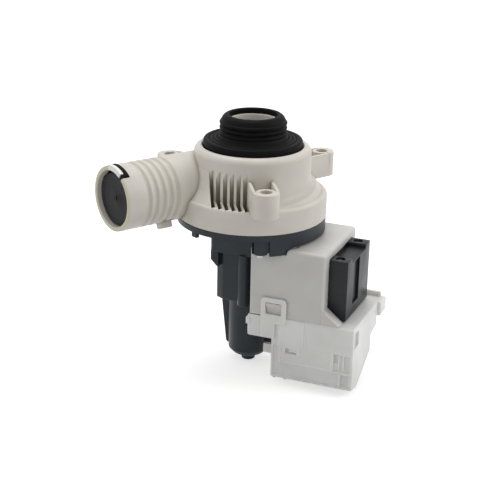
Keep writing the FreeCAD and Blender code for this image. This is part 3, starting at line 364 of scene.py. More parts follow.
def finished(piece, node, angle=36.0, finish=None):
    """Shades a piece, which takes over a CAD node: it rides on the node's body, the node is
    hidden, and the piece gets the node's finish, unless it has another finish."""
    shade(piece, angle)
    slot = slot_of[node]
    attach(piece, body_of[node])
    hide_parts(node)
    dress(piece, finish or slot)
    report(piece)


for name, node in frame["nodes"].items():
    dress(node, slot_of[name])
print("CAD nodes dressed:", len(slot_of), "bodies:", sorted(set(body_of.values())))

# %% [markdown]
# Every edit below starts as it would by hand: nothing else is selected, the piece is
# active, and in edit mode the corners to work on are chosen. An operator acts on all that
# is selected, so these few lines come before each one, and no forgotten selection can
# spoil a piece.

# %% Choosing what to work on
def mode(name):
    bpy.ops.object.mode_set(mode=name)


def deselect():
    bpy.ops.object.select_all(action="DESELECT")


def hold(piece):
    if bpy.context.object and bpy.context.object.mode != "OBJECT":
        mode("OBJECT")
    deselect()
    piece.select_set(True)
    bpy.context.view_layer.objects.active = piece


def all_corners():
    bpy.ops.mesh.select_mode(type="VERT")
    bpy.ops.mesh.select_all(action="SELECT")


def merge_doubles():
    all_corners()
    bpy.ops.mesh.remove_doubles(threshold=DOUBLE)
    all_corners()


def place_mm(spot):
    """Millimetres over the joint plane, from metres."""
    return Vector((spot.x / MM, spot.y / MM, spot.z / MM + EAR_TOP))


def report(piece):
    """Prints a mesh's triangles and the edges that don't have two faces."""
    faces = piece.data.polygons
    uses = Counter(key for face in faces for key in face.edge_keys)
    print(piece.name, "triangles:", sum(len(face.vertices) - 2 for face in faces),
          "open edges:", sum(count != 2 for count in uses.values()))


print("ways to choose: hold, all_corners, merge_doubles")

# %% [markdown]
# Each piece starts from a primitive. A box is a cube stretched to its size, a rod is a
# cylinder, and a drawn outline is a plane merged to a single corner, which is extruded
# from place to place. The outline is then spun into a turned form, or filled and pulled
# out into a plate. A mesh could also be typed in as lists of corners and faces, but an
# outline says in a few numbers what the piece looks like, and is easy to change.

# %% Starting a piece
def named(name):
    piece = bpy.context.object
    piece.name = piece.data.name = name
    return piece


def settle(piece):
    """Puts a piece's place into its mesh, and its object at the origin."""
    hold(piece)
    bpy.ops.object.transform_apply(location=True, rotation=True, scale=True)
    return piece


def box(name, x, y, z):
    """A cube stretched between pairs of levels, in millimetres."""
    deselect()
    middle = point(sum(x) / 2, sum(y) / 2, sum(z) / 2)
    bpy.ops.mesh.primitive_cube_add(size=MM, location=middle)
    piece = named(name)
    piece.scale = (x[1] - x[0], y[1] - y[0], z[1] - z[0])
    return settle(piece)


def cylinder(name, sides, radius, depth, middle, way=(0, 0, 0)):
    deselect()
    bpy.ops.mesh.primitive_cylinder_add(vertices=sides, radius=radius * MM, depth=depth,
                                        location=middle, rotation=way)
    return settle(named(name))


def rod(name, radius, low, high, x=0.0, y=0.0, sides=48):
    """An upright cylinder between two levels, in millimetres."""
    return cylinder(name, sides, radius, (high - low) * MM, point(x, y, (low + high) / 2))


def bar(name, radius, first, last, sides=32):
    """A cylinder between two places given in millimetres."""
    start, end = point(*first), point(*last)
    way = end - start
    return cylinder(name, sides, radius, way.length, (start + end) / 2,
                    way.to_track_quat("Z", "Y").to_euler())


def drawn(name, corners):
    """An open outline through places in metres; it stays in edit mode."""
    deselect()
    bpy.ops.mesh.primitive_plane_add(size=MM, location=corners[0])
    piece = settle(named(name))
    mode("EDIT")
    all_corners()
    bpy.ops.mesh.merge(type="CENTER")
    for here, there in zip(corners, corners[1:]):
        bpy.ops.mesh.extrude_region_move(TRANSFORM_OT_translate={"value": there - here})
    return piece


def tidy_mesh(piece):
    """Joins doubles and points every face outwards."""
    hold(piece)
    mode("EDIT")
    merge_doubles()
    bpy.ops.mesh.dissolve_degenerate(threshold=DOUBLE / 2)
    all_corners()
    bpy.ops.mesh.normals_make_consistent(inside=False)
    mode("OBJECT")
    return piece


def spin(steps, angle):
    """Spins the chosen corners about the pump's upright axis, by an angle in degrees."""
    bpy.ops.mesh.spin(steps=steps, angle=radians(angle), center=(0, 0, 0), axis=(0, 0, 1))


def turned(name, corners, steps=120, softness=0.0, lift=EAR_TOP):
    """Turns an outline of radius and level once round the upright axis through zero."""
    piece = drawn(name, [Vector((r * MM, 0, (z - lift) * MM)) for r, z in corners])
    merge_doubles()
    if softness:
        bpy.ops.mesh.bevel(offset=softness * MM, affect="VERTICES", segments=3)
        all_corners()
    spin(steps, 360)
    return tidy_mesh(piece)


def filled(name, corners):
    """A closed outline through places in metres with a face; it stays in edit mode."""
    piece = drawn(name, list(corners) + [corners[0]])
    merge_doubles()
    bpy.ops.mesh.edge_face_add()
    all_corners()
    return piece


def plate(name, axis, corners, first, last):
    """An outline seen along an axis, filled and pulled out from one level to another."""
    piece = filled(name, [point(*c[:axis], first, *c[axis:]) for c in corners])
    depth = Vector()
    depth[axis] = (last - first) * MM
    bpy.ops.mesh.extrude_region_move(TRANSFORM_OT_translate={"value": depth})
    return tidy_mesh(piece)


def arc_block(name, radius, level, angles, steps=24, lift=EAR_TOP):
    """Part of a ring between two radii, two levels and two angles."""
    deselect()
    middle = Vector((sum(radius) / 2, 0, sum(level) / 2 - lift)) * MM
    bpy.ops.mesh.primitive_plane_add(size=MM, location=middle, rotation=(pi / 2, 0, 0))
    piece = named(name)
    piece.scale = (radius[1] - radius[0], level[1] - level[0], 1)
    settle(piece)
    mode("EDIT")
    all_corners()
    spin(steps, angles[0] - angles[1])
    return turn(tidy_mesh(piece), angles[0])


print("ways to start: box, rod, bar, turned, filled, plate, arc_block")

# %% [markdown]
# A piece is then turned to its place, copied, joined to others or carved by them. Holes
# and pockets could be cut face by face, but a Boolean makes them from two simple forms.
# Its manifold solver is used because it keeps closed forms closed, and the carving piece
# is thrown away.

# %% Turning, copying, joining and carving
def turn(piece, angle):
    """Turns a piece about the pump's upright axis, by an angle in degrees."""
    piece.matrix_world = Matrix.Rotation(radians(angle), 4, "Z") @ piece.matrix_world
    return settle(piece)


def copy_of(piece, name):
    hold(piece)
    bpy.ops.object.duplicate()
    return named(name)


def mirrored(piece):
    """Moves a piece to the other side of the pump, across its long axis."""
    piece.scale = (1, -1, 1)
    return settle(piece)


def apply_modifier(piece, kind, **settings):
    hold(piece)
    bpy.ops.object.modifier_add(type=kind)
    modifier = piece.modifiers[-1]
    for key, value in settings.items():
        setattr(modifier, key, value)
    bpy.ops.object.modifier_apply(modifier=modifier.name)


def combine(piece, others, operation):
    for other in others:
        apply_modifier(piece, "BOOLEAN", object=other, operation=operation, solver="MANIFOLD")
        bpy.data.objects.remove(other)
    return piece


def join(piece, *others):
    return combine(piece, others, "UNION")


def carve(piece, *others):
    return combine(piece, others, "DIFFERENCE")


print("ways to combine: turn, copy_of, mirrored, join, carve")

# %% [markdown]
# No moulding has sharp edges. A Bevel modifier rounds every sharp edge alike, which suits
# small pieces. Where only some edges are round, they are chosen by a test on their two
# ends and bevelled in edit mode, before the piece is joined to others. The tests that
# come back are named: along an axis, at a level, over or under a limit.

# %% Rounding and shading
def shade(piece, angle):
    hold(piece)
    bpy.ops.object.shade_smooth_by_angle(angle=radians(angle))


def soften(piece, width, segments=2, angle=50):
    """Small rounding on every edge that is sharper than an angle."""
    apply_modifier(piece, "BEVEL", width=width * MM, segments=segments, limit_method="ANGLE",
                   angle_limit=radians(angle))
    return piece


def round_off(piece, width, wanted, segments=3):
    """Rounds the edges whose two ends pass the test."""
    hold(piece)
    mode("EDIT")
    bpy.ops.mesh.select_mode(type="EDGE")
    bpy.ops.mesh.select_all(action="DESELECT")
    mode("OBJECT")
    corners = piece.data.vertices
    for edge in piece.data.edges:
        edge.select = wanted(*(place_mm(corners[i].co) for i in edge.vertices))
    mode("EDIT")
    bpy.ops.mesh.bevel(offset=width * MM, segments=segments, affect="EDGES")
    mode("OBJECT")
    return piece


def along(axis):
    return lambda a, b: sum(abs(a[i] - b[i]) for i in (X, Y, Z) if i != axis) < 0.01


def level_at(z):
    return lambda a, b: abs(a.z - z) + abs(b.z - z) < 0.02


def over(axis, limit):
    return lambda a, b: min(a[axis], b[axis]) > limit


def under(axis, limit):
    return lambda a, b: max(a[axis], b[axis]) < limit


def soft_box(name, x, y, z, width, wanted=lambda a, b: True, segments=3):
    """A block whose chosen edges are rounded."""
    return round_off(box(name, x, y, z), width, wanted, segments)


along_x, along_y, upright = along(X), along(Y), along(Z)
print("ways to round: soften, round_off, soft_box")

# %% [markdown]
# The inlet sleeve is the black rubber neck on top, which the hose is pushed over. It has
# a broad flange, a ringed slope and two soft ridges. Its rings could be added one by one
# as tori, but it is a turned form, so its outline is drawn once and spun. The outline's
# corners are rounded before the spin, as rubber never comes sharp.

# %% Rubber inlet sleeve
SPIGOT_R = 17.2
SPIGOT_TOP = 65.8
ROOF_Z = 45.0
GAP = 0.15
SLEEVE_FOOT = (SPIGOT_R + GAP, ROOF_Z + 0.02)
SLEEVE_OUTLINE = [
    SLEEVE_FOOT, (33.4, ROOF_Z + 0.02), (34.1, 46.4), (34.1, 51.4),
    (33.6, 52.6), (32.6, 53.0), (30.6, 53.0), (29.9, 52.1), (29.2, 53.1), (27.8, 53.4),
    (27.1, 52.6), (26.4, 53.9), (25.1, 54.2), (24.5, 53.4), (23.9, 54.9), (23.0, 56.0),
    (23.4, 57.2), (22.9, 58.1), (22.0, 58.7), (22.6, 59.5), (23.2, 60.6), (22.8, 61.5),
    (21.9, 62.1), (22.7, 63.0), (23.2, 64.1), (22.8, 65.0), (21.8, 65.6), (21.9, 66.3),
    (21.4, 67.3), (20.6, 68.4), (19.2, 69.4), (17.7, 69.8), (16.8, 69.6), (16.4, 68.9),
    (16.4, SPIGOT_TOP + GAP), (SPIGOT_R + GAP, SPIGOT_TOP + GAP), SLEEVE_FOOT]
finished(turned("rubber_inlet_sleeve", SLEEVE_OUTLINE, 144, 0.28), "inlet_sleeve", 50.0)

# %% [markdown]
# The outlet is the large round mouth that lies across the pump. Its pieces could be
# placed one by one with sines and cosines, but it is simpler to model all of them upright
# at zero, and then to carry them to the outlet's own frame, whose third axis runs out of
# the mouth.

# %% The outlet's own frame
OUTLET_OFFSET = 24.0
OUTLET_LEVEL = 20.0
OUTLET_REACH = 98.4
out_of_mouth = Vector(mouth_way)
outlet_side = Vector((-out_of_mouth.y, out_of_mouth.x, 0))
OUTLET = Matrix((outlet_side, Vector((0, 0, 1)), out_of_mouth)).transposed().to_4x4()
OUTLET.translation = point(*(-outlet_side * OUTLET_OFFSET + Vector((0, 0, OUTLET_LEVEL))))


def at_outlet(piece):
    piece.matrix_world = OUTLET @ piece.matrix_world
    return settle(piece)


def inside(depth):
    """Level in the outlet's frame of a plane this far inside the mouth."""
    return OUTLET_REACH - depth


print("outlet foot", tuple(round(v, 4) for v in OUTLET.translation))

# %% [markdown]
# The casing is the cream upper half, a drum on a wider skirt. It could start as two
# cylinders with bevels, but its shoulder and the skirt's rim are generous rounds, and in
# a turned form these are simply more corners of the outline.

# %% Casing drum and skirt
SKIRT_R = 52.0
SKIRT_H = 14.6
LEDGE_ROUND = 2.2
LEDGE_Z = SKIRT_H + LEDGE_ROUND
CASING_R = 40.4
CASING_TOP = 48.5
SHOULDER = 4.6
ROOF_RIM_R = 35.0


def bend(radius, level, size, first, last, steps=6):
    """Corners along a round edge between two directions in degrees."""
    ways = [radians(first + (last - first) * i / steps) for i in range(steps + 1)]
    return [(radius + size * cos(a), level + size * sin(a)) for a in ways]


casing = turned("pump_casing", [
    (0, 0), (SKIRT_R - 0.3, 0), (SKIRT_R, 0.3),
    *bend(SKIRT_R - LEDGE_ROUND, SKIRT_H, LEDGE_ROUND, 0, 90),
    *bend(CASING_R + 1.2, LEDGE_Z + 1.2, 1.2, 270, 180, 4),
    *bend(CASING_R - SHOULDER, CASING_TOP - SHOULDER, SHOULDER, 0, 84, 8),
    (ROOF_RIM_R + 0.4, CASING_TOP), (ROOF_RIM_R, CASING_TOP - 0.4), (ROOF_RIM_R, ROOF_Z),
    (0, ROOF_Z)], 160)
report(casing)

# %% [markdown]
# Round the back of the casing a water channel rises and widens until it meets the outlet.
# A profile that is swept along a curve keeps its shape, and this one has to grow. So the
# channel is lofted by hand: one cross-section is extruded again and again, and each new
# section is put where the growing channel has it. A hollow round joins it to the drum.

# %% Rising water channel
CHANNEL_FIRST = 310.0
CHANNEL_SWING = 199.0
CHANNEL_STEPS = 40
CHANNEL_IN = 23.0
CHANNEL_BASE = 10.0
CHANNEL_R = 51.0
CHANNEL_ROUND = 7.0
BARREL_R = 22.3


def channel_section(part):
    """Places of the cross-section's corners at this part of the way, from 0 to 1."""
    top = LEDGE_Z + (OUTLET_LEVEL + BARREL_R - LEDGE_Z) * part ** 1.2
    reach = CHANNEL_R + (OUTLET_OFFSET + BARREL_R - CHANNEL_R) * part
    size = min(CHANNEL_ROUND + (BARREL_R - CHANNEL_ROUND) * part, top - CHANNEL_BASE - 1)
    soft = 4.6 * (1 - part) + 0.6
    over_drum = max(0.0, CASING_R + soft - (reach - size))
    stop = degrees(acos(over_drum / size))
    outline = [(CHANNEL_IN, CHANNEL_BASE), (reach, CHANNEL_BASE),
               *bend(reach - size, top - size, size, 0, stop, 8)]
    foot = outline[-1][1] + soft
    outline += [*bend(CASING_R + soft, foot, soft, 267, 180, 5), (CHANNEL_IN, foot)]
    a = radians(CHANNEL_FIRST + CHANNEL_SWING * part)
    return [point(r * cos(a), r * sin(a), z) for r, z in outline]


places = channel_section(0)
channel = filled("water_channel", places)
for step in range(1, CHANNEL_STEPS + 1):
    before, places = places, channel_section(step / CHANNEL_STEPS)
    bpy.ops.mesh.extrude_region()
    mode("OBJECT")
    for corner in channel.data.vertices:
        if corner.select:
            nearest = min(range(len(before)), key=lambda k: (before[k] - corner.co).length)
            corner.co = places[nearest]
    mode("EDIT")
report(tidy_mesh(channel))

# %% [markdown]
# Three screw eyes carry the pump in the machine. Each is a round boss on two webs with a
# pocket between them. They could be modelled where they are, but they are alike, so one
# is modelled and turned copies of it are made, a third of a turn apart.

# %% Screw eyes
EAR_BOSS_R = 8.75
EAR_HOLE_R = 4.1
EAR_CIRCLE_R = 62.9
EAR_BOTTOM = 17.0
EAR_WEB = 2.0
EAR_FLOOR = 20.5
EAR_TURNS = (60.0, 180.0, 300.0)
POCKET_HALF = EAR_BOSS_R - EAR_WEB

eye = join(box("screw_eye", (CASING_R - 1.3, EAR_CIRCLE_R), (-EAR_BOSS_R, EAR_BOSS_R),
               (EAR_BOTTOM, EAR_TOP)),
           rod("eye_boss", EAR_BOSS_R, EAR_BOTTOM, EAR_TOP, EAR_CIRCLE_R, sides=64))
pocket = carve(box("eye_pocket", (CASING_R - 4, EAR_CIRCLE_R - EAR_WEB),
                   (-POCKET_HALF, POCKET_HALF), (EAR_FLOOR, EAR_TOP + 2)),
               rod("inner_boss", POCKET_HALF, EAR_BOTTOM - 1, EAR_TOP + 3, EAR_CIRCLE_R, sides=64))
round_off(pocket, 1.2, lambda a, b: upright(a, b) and a.x < CASING_R)
soften(carve(eye, pocket), 0.5)
eyes = [turn(copy_of(eye, f"screw_eye_{i}"), a) for i, a in enumerate(EAR_TURNS)]
bpy.data.objects.remove(eye)
print("screw eyes:", len(eyes))

# %% [markdown]
# The outlet's barrel is a plain tube with five shallow grooves, which leave four ridges
# that the hose grips. The grooves could be carved, but it is smoother to let the outline
# run through each of them as a soft wave, and then to spin it. The small block on the
# barrel is the key that the hose is lined up with.

# %% Outlet barrel
MOUTH_R = 22.2
MOUTH_BORE_R = 19.2
MOUTH_DEPTH = 8.0
OUTLET_BORE_R = 17.8
FIRST_GROOVE = 16.6
GROOVES = 5
GROOVE_PITCH = 5.65
GROOVE_R = 20.9

corners = [(0, 0), (BARREL_R, 0)]
for groove in reversed(range(GROOVES)):
    for step in range(-6, 7):
        depth = (BARREL_R - GROOVE_R) * cos(pi * step / 12) ** 2
        corners.append((BARREL_R - depth,
                        inside(FIRST_GROOVE + GROOVE_PITCH * (groove - 0.8 * step / 12))))
corners += [(MOUTH_R, inside(FIRST_GROOVE - 4)), (MOUTH_R, inside(0.7)),
            (MOUTH_R - 0.2, inside(0.2)), (MOUTH_R - 0.7, inside(0)), (0, inside(0))]
barrel = turned("outlet_barrel", corners, 128, lift=0)
key = soft_box("hose_key", (MOUTH_R - 2, 26.4), (-3.0, 3.0),
               (inside(39.8) + EAR_TOP, inside(31.2) + EAR_TOP), 0.8, over(X, 26))
barrel = at_outlet(join(barrel, turn(key, -67.0)))
casing = join(casing, *eyes, channel, barrel)
report(casing)

# %% [markdown]
# Beside the outlet the ledge is filled up to a smooth slope, which is an outline that is
# spun only part of the way. Next to it the wall is lightened by six upright slots. They
# could point to the pump's middle, but the real ones all run the same way, towards the
# front screw eye, because the mould pulls one comb of blades out of them. A slot is deep
# at its foot, where it cuts through the ledge, and runs out at its top.

# %% Slope and slots beside the outlet
SLOPE_FIRST = 222.0
SLOPE_SWEEP = 48.0
SLOT_WAY = 300.0
FIRST_SLOT = -10.2
SLOT_PITCH = 4.2
SLOTS = 6
SLOT_HALF = 1.3
SLOT_DEPTH = 4.4
SLOT_FLOOR = 10.5
SLOT_TOP = 38.0
SLOT_DEEP_TO = 24.0
SLOT_END_R = 51.3

profile = [(CASING_R - 2, 12), (SKIRT_R - 0.6, 12), (SKIRT_R - 0.6, SKIRT_H + 0.6),
           (SKIRT_R - 2.4, LEDGE_Z + 0.6), (47.0, 20.0), (43.8, 24.6), (41.6, 30.5), (40.6, 36.5),
           (CASING_R - 2, 38)]
slope = filled("ledge_slope", [point(r, 0, z) for r, z in profile])
spin(40, -SLOPE_SWEEP)
turn(tidy_mesh(slope), SLOPE_FIRST - SLOT_WAY)
slot_middles = [FIRST_SLOT - i * SLOT_PITCH for i in range(SLOTS)]
slope = carve(slope, box("slope_end", (0, 60), (slot_middles[-1] - SLOT_HALF, 60), (0, 60)))
cuts = []
for y in slot_middles:
    wall = sqrt(CASING_R ** 2 - y ** 2)
    end = sqrt(SLOT_END_R ** 2 - (abs(y) + SLOT_HALF) ** 2)
    cuts.append(plate("slot", Y, [
        (wall - SLOT_DEPTH, SLOT_FLOOR), (end, SLOT_FLOOR), (end, SLOT_TOP),
        (wall + 0.3, SLOT_TOP), (wall - SLOT_DEPTH, SLOT_DEEP_TO)], y - SLOT_HALF, y + SLOT_HALF))
casing = join(casing, turn(slope, SLOT_WAY))
casing = carve(casing, *[turn(cut, SLOT_WAY) for cut in cuts])
report(casing)

# %% [markdown]
# Inside, the casing is a round chamber for the impeller, with a hole to the outlet. The
# inlet spigot that carries the sleeve stands in the roof, and hollow pockets under the
# skirt keep its walls even. The casing could be built as a thin shell, but it is surer to
# carve its rooms out of the full form, as each of them is a simple rod, a turned form or
# part of a ring.

# %% Chamber, water ways and spigot
CHAMBER_R = 35.5
CHAMBER_SHIFT = 2.2
CHAMBER_WAY = radians(268)
SPIGOT_BORE_R = 15.6
SCREW_CIRCLE_R = 45.4
SCREW_HOLE_R = 1.9

chamber = rod("chamber", CHAMBER_R, -1, ROOF_Z - 2.6, -CHAMBER_SHIFT * cos(CHAMBER_WAY),
              -CHAMBER_SHIFT * sin(CHAMBER_WAY), 120)
way = turned("outlet_way", [(0, 17), (OUTLET_BORE_R, 17), (OUTLET_BORE_R, inside(MOUTH_DEPTH)),
                            (MOUTH_BORE_R, inside(MOUTH_DEPTH)), (MOUTH_BORE_R, inside(0.6)),
                            (MOUTH_BORE_R + 0.6, inside(0)), (MOUTH_BORE_R + 0.6, inside(-1)),
                            (0, inside(-1))], 96, lift=0)
cuts = [chamber, at_outlet(way), rod("below_joint", SKIRT_R + 1, -BARREL_R - 3, 0, sides=96)]
for a in EAR_TURNS:
    hollow = arc_block("skirt_hollow", (43.3, 49.6), (-1, 8.1), (a + 16, a + 104), 30)
    guard = at_outlet(rod("guard", BARREL_R, EAR_TOP, OUTLET_REACH + EAR_TOP, sides=96))
    cuts += [carve(hollow, guard),
             turn(rod("screw_hole", SCREW_HOLE_R, -1, 13, SCREW_CIRCLE_R, sides=20), a),
             turn(rod("eye_hole", EAR_HOLE_R, EAR_BOTTOM - 1, EAR_TOP + 1, EAR_CIRCLE_R), a)]
casing = carve(casing, *cuts)
spigot = turned("inlet_spigot", [
    (SPIGOT_BORE_R, 27.5), (SPIGOT_R, 27.5), (SPIGOT_R, SPIGOT_TOP - 0.5),
    (SPIGOT_R - 0.5, SPIGOT_TOP), (SPIGOT_BORE_R + 0.4, SPIGOT_TOP),
    (SPIGOT_BORE_R, SPIGOT_TOP - 0.4), (SPIGOT_BORE_R, 27.5)], 96)
casing = carve(join(casing, spigot),
               rod("inlet_bore", SPIGOT_BORE_R, 26.5, SPIGOT_TOP + 1, sides=96))
report(casing)

# %% [markdown]
# The mouth has a gap for the rubber strap of the valve, and a white tongue covers the
# strap from the front. The tongue could be what the gap leaves standing, but it is a
# piece of its own, because its plastic is whiter than the casing's.

# %% Gap and tongue in the mouth
gap = arc_block("strap_gap", (MOUTH_BORE_R - 1, BARREL_R + 1), (inside(6.2), inside(-1)),
                (52, 102), 20, lift=0)
finished(carve(casing, at_outlet(gap)), "volute_housing", 32.0)
tongue = arc_block("strap_tongue", (MOUTH_BORE_R + 0.2, MOUTH_R + 0.8),
                   (inside(2.7), inside(0.05)), (60, 102), 20, lift=0)
finished(at_outlet(soften(tongue, 0.3)), "volute_housing", 32.0, "white_tongue")

# %% [markdown]
# The motor housing hangs under the casing: a flange with a rim, a square neck, a box that
# holds the pole arms, and the long can that the rotor turns in. The rim goes only part of
# the way round. It could be added in pieces, but it is turned with the flange all the way
# round and is then cut back, so its face stays one surface. Where its deep part ends in a
# curve, the corners of the cutting block are moved first.

# %% Flange of the motor housing
FLANGE_R = 51.8
FLANGE_T = 4.4
RIM_IN = FLANGE_R - 2.4
RIM_BOTTOM = -9.8
APRON_BOTTOM = -15.0
APRON_FIRST = 306.0
APRON_CORNER = 318.6
APRON_SWEEP = 13.0
RIM_LAST = 37.0
HOOK = (241.2, 246.8)
HOOK_BOTTOM = -7.6

housing = turned("motor_housing", [
    (0, -FLANGE_T), (RIM_IN - 0.8, -FLANGE_T), (RIM_IN, -FLANGE_T - 0.8),
    (RIM_IN, APRON_BOTTOM + 0.3), (RIM_IN + 0.3, APRON_BOTTOM), (FLANGE_R - 0.4, APRON_BOTTOM),
    (FLANGE_R, APRON_BOTTOM + 0.4), (FLANGE_R, -0.4), (FLANGE_R - 0.4, 0), (0, 0)], 160)
ring = (RIM_IN - 1, FLANGE_R + 1)
below = APRON_BOTTOM - 1
sweep = arc_block("apron_curve", ring, (below, RIM_BOTTOM), (APRON_CORNER, RIM_LAST + 360), 60)
for corner in sweep.data.vertices:
    spot = place_mm(corner.co)
    done = (degrees(atan2(spot.y, spot.x)) % 360 - APRON_CORNER) % 360 / APRON_SWEEP
    if spot.z > below + 0.5 and done < 1:
        rise = sqrt(max(0.0, 1 - (1 - done) ** 2))
        corner.co.z -= (RIM_BOTTOM - APRON_BOTTOM) * (1 - rise) * MM
housing = carve(housing, sweep,
                arc_block("rim_cut", ring, (below, -FLANGE_T), (RIM_LAST, HOOK[0]), 80),
                arc_block("hook_cut", ring, (below, HOOK_BOTTOM), (HOOK[0] - 1, HOOK[1] + 1), 6),
                arc_block("front_cut", ring, (below, -FLANGE_T), (HOOK[1], APRON_FIRST), 40))
report(housing)

# %% [markdown]
# Under the flange are the neck with its cheek, the box with its two columns, and the
# bosses of the screws. They could be joined first and rounded afterwards, but a bevel on
# a joined body has to find its way round every meeting edge. So each is a block or a rod
# whose corners are rounded before it is joined.

# %% Neck and box of the motor housing
CAN_R = 14.5
CAN_BORE_R = 12.4
BOX_X = 18.4
BOX_Y = CAN_R + 5.4
BOX_END = 14.0
BOX_BOTTOM = -61.2
BOX_TAPER = 3.0
BOX_WALL = 2.0
NECK_X = 21.0
NECK_Y = 24.0
NECK_BOTTOM = -25.0
COLUMN_X = 4.0
COLUMN_R = 5.0
COLUMN_BOTTOM = BOX_BOTTOM - 1.2
BOSS_R = 4.9
BOSS_BOTTOM = -14.8
STACK = (-57.0, -27.0)
STACK_ROOM = (STACK[0] - GAP, STACK[1] + GAP)


def box_plan(inset, end):
    """Plan of the box round the pole arms, moved inwards by its wall."""
    near = BOX_Y - BOX_TAPER - inset
    far = BOX_Y - inset
    bend_x = -BOX_X + 2 * BOX_TAPER
    return [(-BOX_X + inset, -near), (bend_x, -far), (end, -far), (end, far), (bend_x, far),
            (-BOX_X + inset, near)]


neck = soft_box("neck", (-NECK_X, BOX_END), (-NECK_Y, NECK_Y), (NECK_BOTTOM, -FLANGE_T + 1), 3.0,
                lambda a, b: upright(a, b) and a.x < -NECK_X + 1, 5)
round_off(neck, 0.6, level_at(NECK_BOTTOM), 2)
cheek = plate("cheek", Y, [(-NECK_X, NECK_BOTTOM + 1), (-NECK_X, -32), (-NECK_X + 4, -36),
                           (-15.4, -36), (-15.4, NECK_BOTTOM + 1)], -22.0, 22.0)
round_off(cheek, 0.8, lambda a, b: max(a.x, b.x) < -15.5 and max(a.z, b.z) < NECK_BOTTOM)
box_body = plate("stator_box", Z, box_plan(0, BOX_END), BOX_BOTTOM, NECK_BOTTOM + 1)
round_off(box_body, 0.8, lambda a, b: (upright(a, b) and a.x < BOX_END - 1)
          or level_at(BOX_BOTTOM)(a, b))
pieces = [neck, cheek, box_body]
for side in (-1, 1):
    column = rod("column", COLUMN_R, COLUMN_BOTTOM, NECK_BOTTOM + 0.5, COLUMN_X, side * BOX_Y)
    round_off(column, 0.8, level_at(COLUMN_BOTTOM))
    pieces.append(carve(column, plate("room", Z, box_plan(BOX_WALL, BOX_END + 1),
                                      BOX_BOTTOM - 3, NECK_BOTTOM)))
for a in EAR_TURNS:
    boss = rod("screw_boss", BOSS_R, BOSS_BOTTOM, -1, SCREW_CIRCLE_R, sides=40)
    pieces.append(turn(round_off(boss, 0.5, level_at(BOSS_BOTTOM), 2), a))
gusset = arc_block("boss_gusset", (42.6, RIM_IN + 0.5), (-13.0, -FLANGE_T + 1), (292.6, 306.6), 10)
round_off(gusset, 1.6, lambda a, b: upright(a, b) and atan2(a.y, a.x) < radians(-66))
housing = join(housing, gusset, *pieces)
housing = carve(housing, plate("arm_pocket", Z, box_plan(BOX_WALL, BOX_END + 1), *STACK_ROOM),
                plate("foot_room", Z, box_plan(BOX_WALL, BOX_END - BOX_WALL), BOX_BOTTOM - 1,
                      STACK[0] - BOX_WALL))
report(housing)

# %% [markdown]
# The can is the closed tube that keeps the water away from the motor. It could be a stack
# of cylinders, but it is turned, so the step to its dome and the small nub are corners of
# one outline. The two thin fins down its sides are one plate through its middle, drawn
# from the side, and only their outer edges are rounded.

# %% Rotor can
CAN_BOTTOM = -103.0
DOME_BOTTOM = -107.6
NUB_BOTTOM = -112.0
FIN_HALF = 1.3
FIN_SIDE = [(15.4, -102.5), (16.6, -102.1), (17.4, -100.8), (21.3, -66), (CAN_R - 1, -61)]

can = turned("rotor_can", [
    (0, NUB_BOTTOM), (4.4, NUB_BOTTOM), (4.9, NUB_BOTTOM + 0.5), (4.9, DOME_BOTTOM - 0.5),
    (5.3, DOME_BOTTOM), (8.2, DOME_BOTTOM), (8.8, DOME_BOTTOM + 0.5), (11.6, DOME_BOTTOM + 2.0),
    (12.2, CAN_BOTTOM - 1.2), (13.4, CAN_BOTTOM - 0.7), (14.2, CAN_BOTTOM + 0.2),
    (CAN_R, CAN_BOTTOM + 1.4), (CAN_R, -1), (0, -1)], 96)
other_side = [(-x, z) for x, z in reversed(FIN_SIDE)]
fins = plate("can_fins", Y, other_side[1:] + FIN_SIDE + other_side[:1], -FIN_HALF, FIN_HALF)
round_off(fins, 0.4, lambda a, b: abs(a.y - b.y) < 0.1 and min(abs(a.x), abs(b.x)) > 15, 2)
housing = join(housing, join(can, fins))
seal_seat = turned("seal_seat", [(0, -2.4), (40.85, -2.4), (40.85, 1), (0, 1)], 120)
bore = turned("can_bore", [(0, -98.6), (4.2, -98.6), (4.2, -90), (CAN_BORE_R, -90),
                           (CAN_BORE_R, 2), (0, 2)], 72)
holes = [turn(rod("shank_hole", SCREW_HOLE_R, -16, 1, SCREW_CIRCLE_R, sides=24), a)
         for a in EAR_TURNS]
finished(carve(housing, seal_seat, bore, *holes), "rotor_housing")

# %% [markdown]
# The cover over the coils is one milky box that is open below and towards the housing. A
# Solidify modifier could give it a wall, but the wall has a window for the yoke and makes
# room for the can and the bosses. So the box is rounded, is hollowed by a smaller one,
# and is then carved by the shapes that it makes room for. Its catches are drawn from the
# end, and its wedges from the side.

# %% Motor cover
COVER_X = (14.0, 66.7)
COVER_Y = 34.0
COVER_Z = (-61.0, -11.5)
COVER_WALL = 2.0
CAP_Y = 25.0
CAP_CORNER_TOP = -17.0
CATCH_X = (26.4, 37.2)
CATCH_Z = -50.8
RUN_GAP = 0.3


def far_corner(a, b):
    return upright(a, b) and a.x > COVER_X[1] - 1


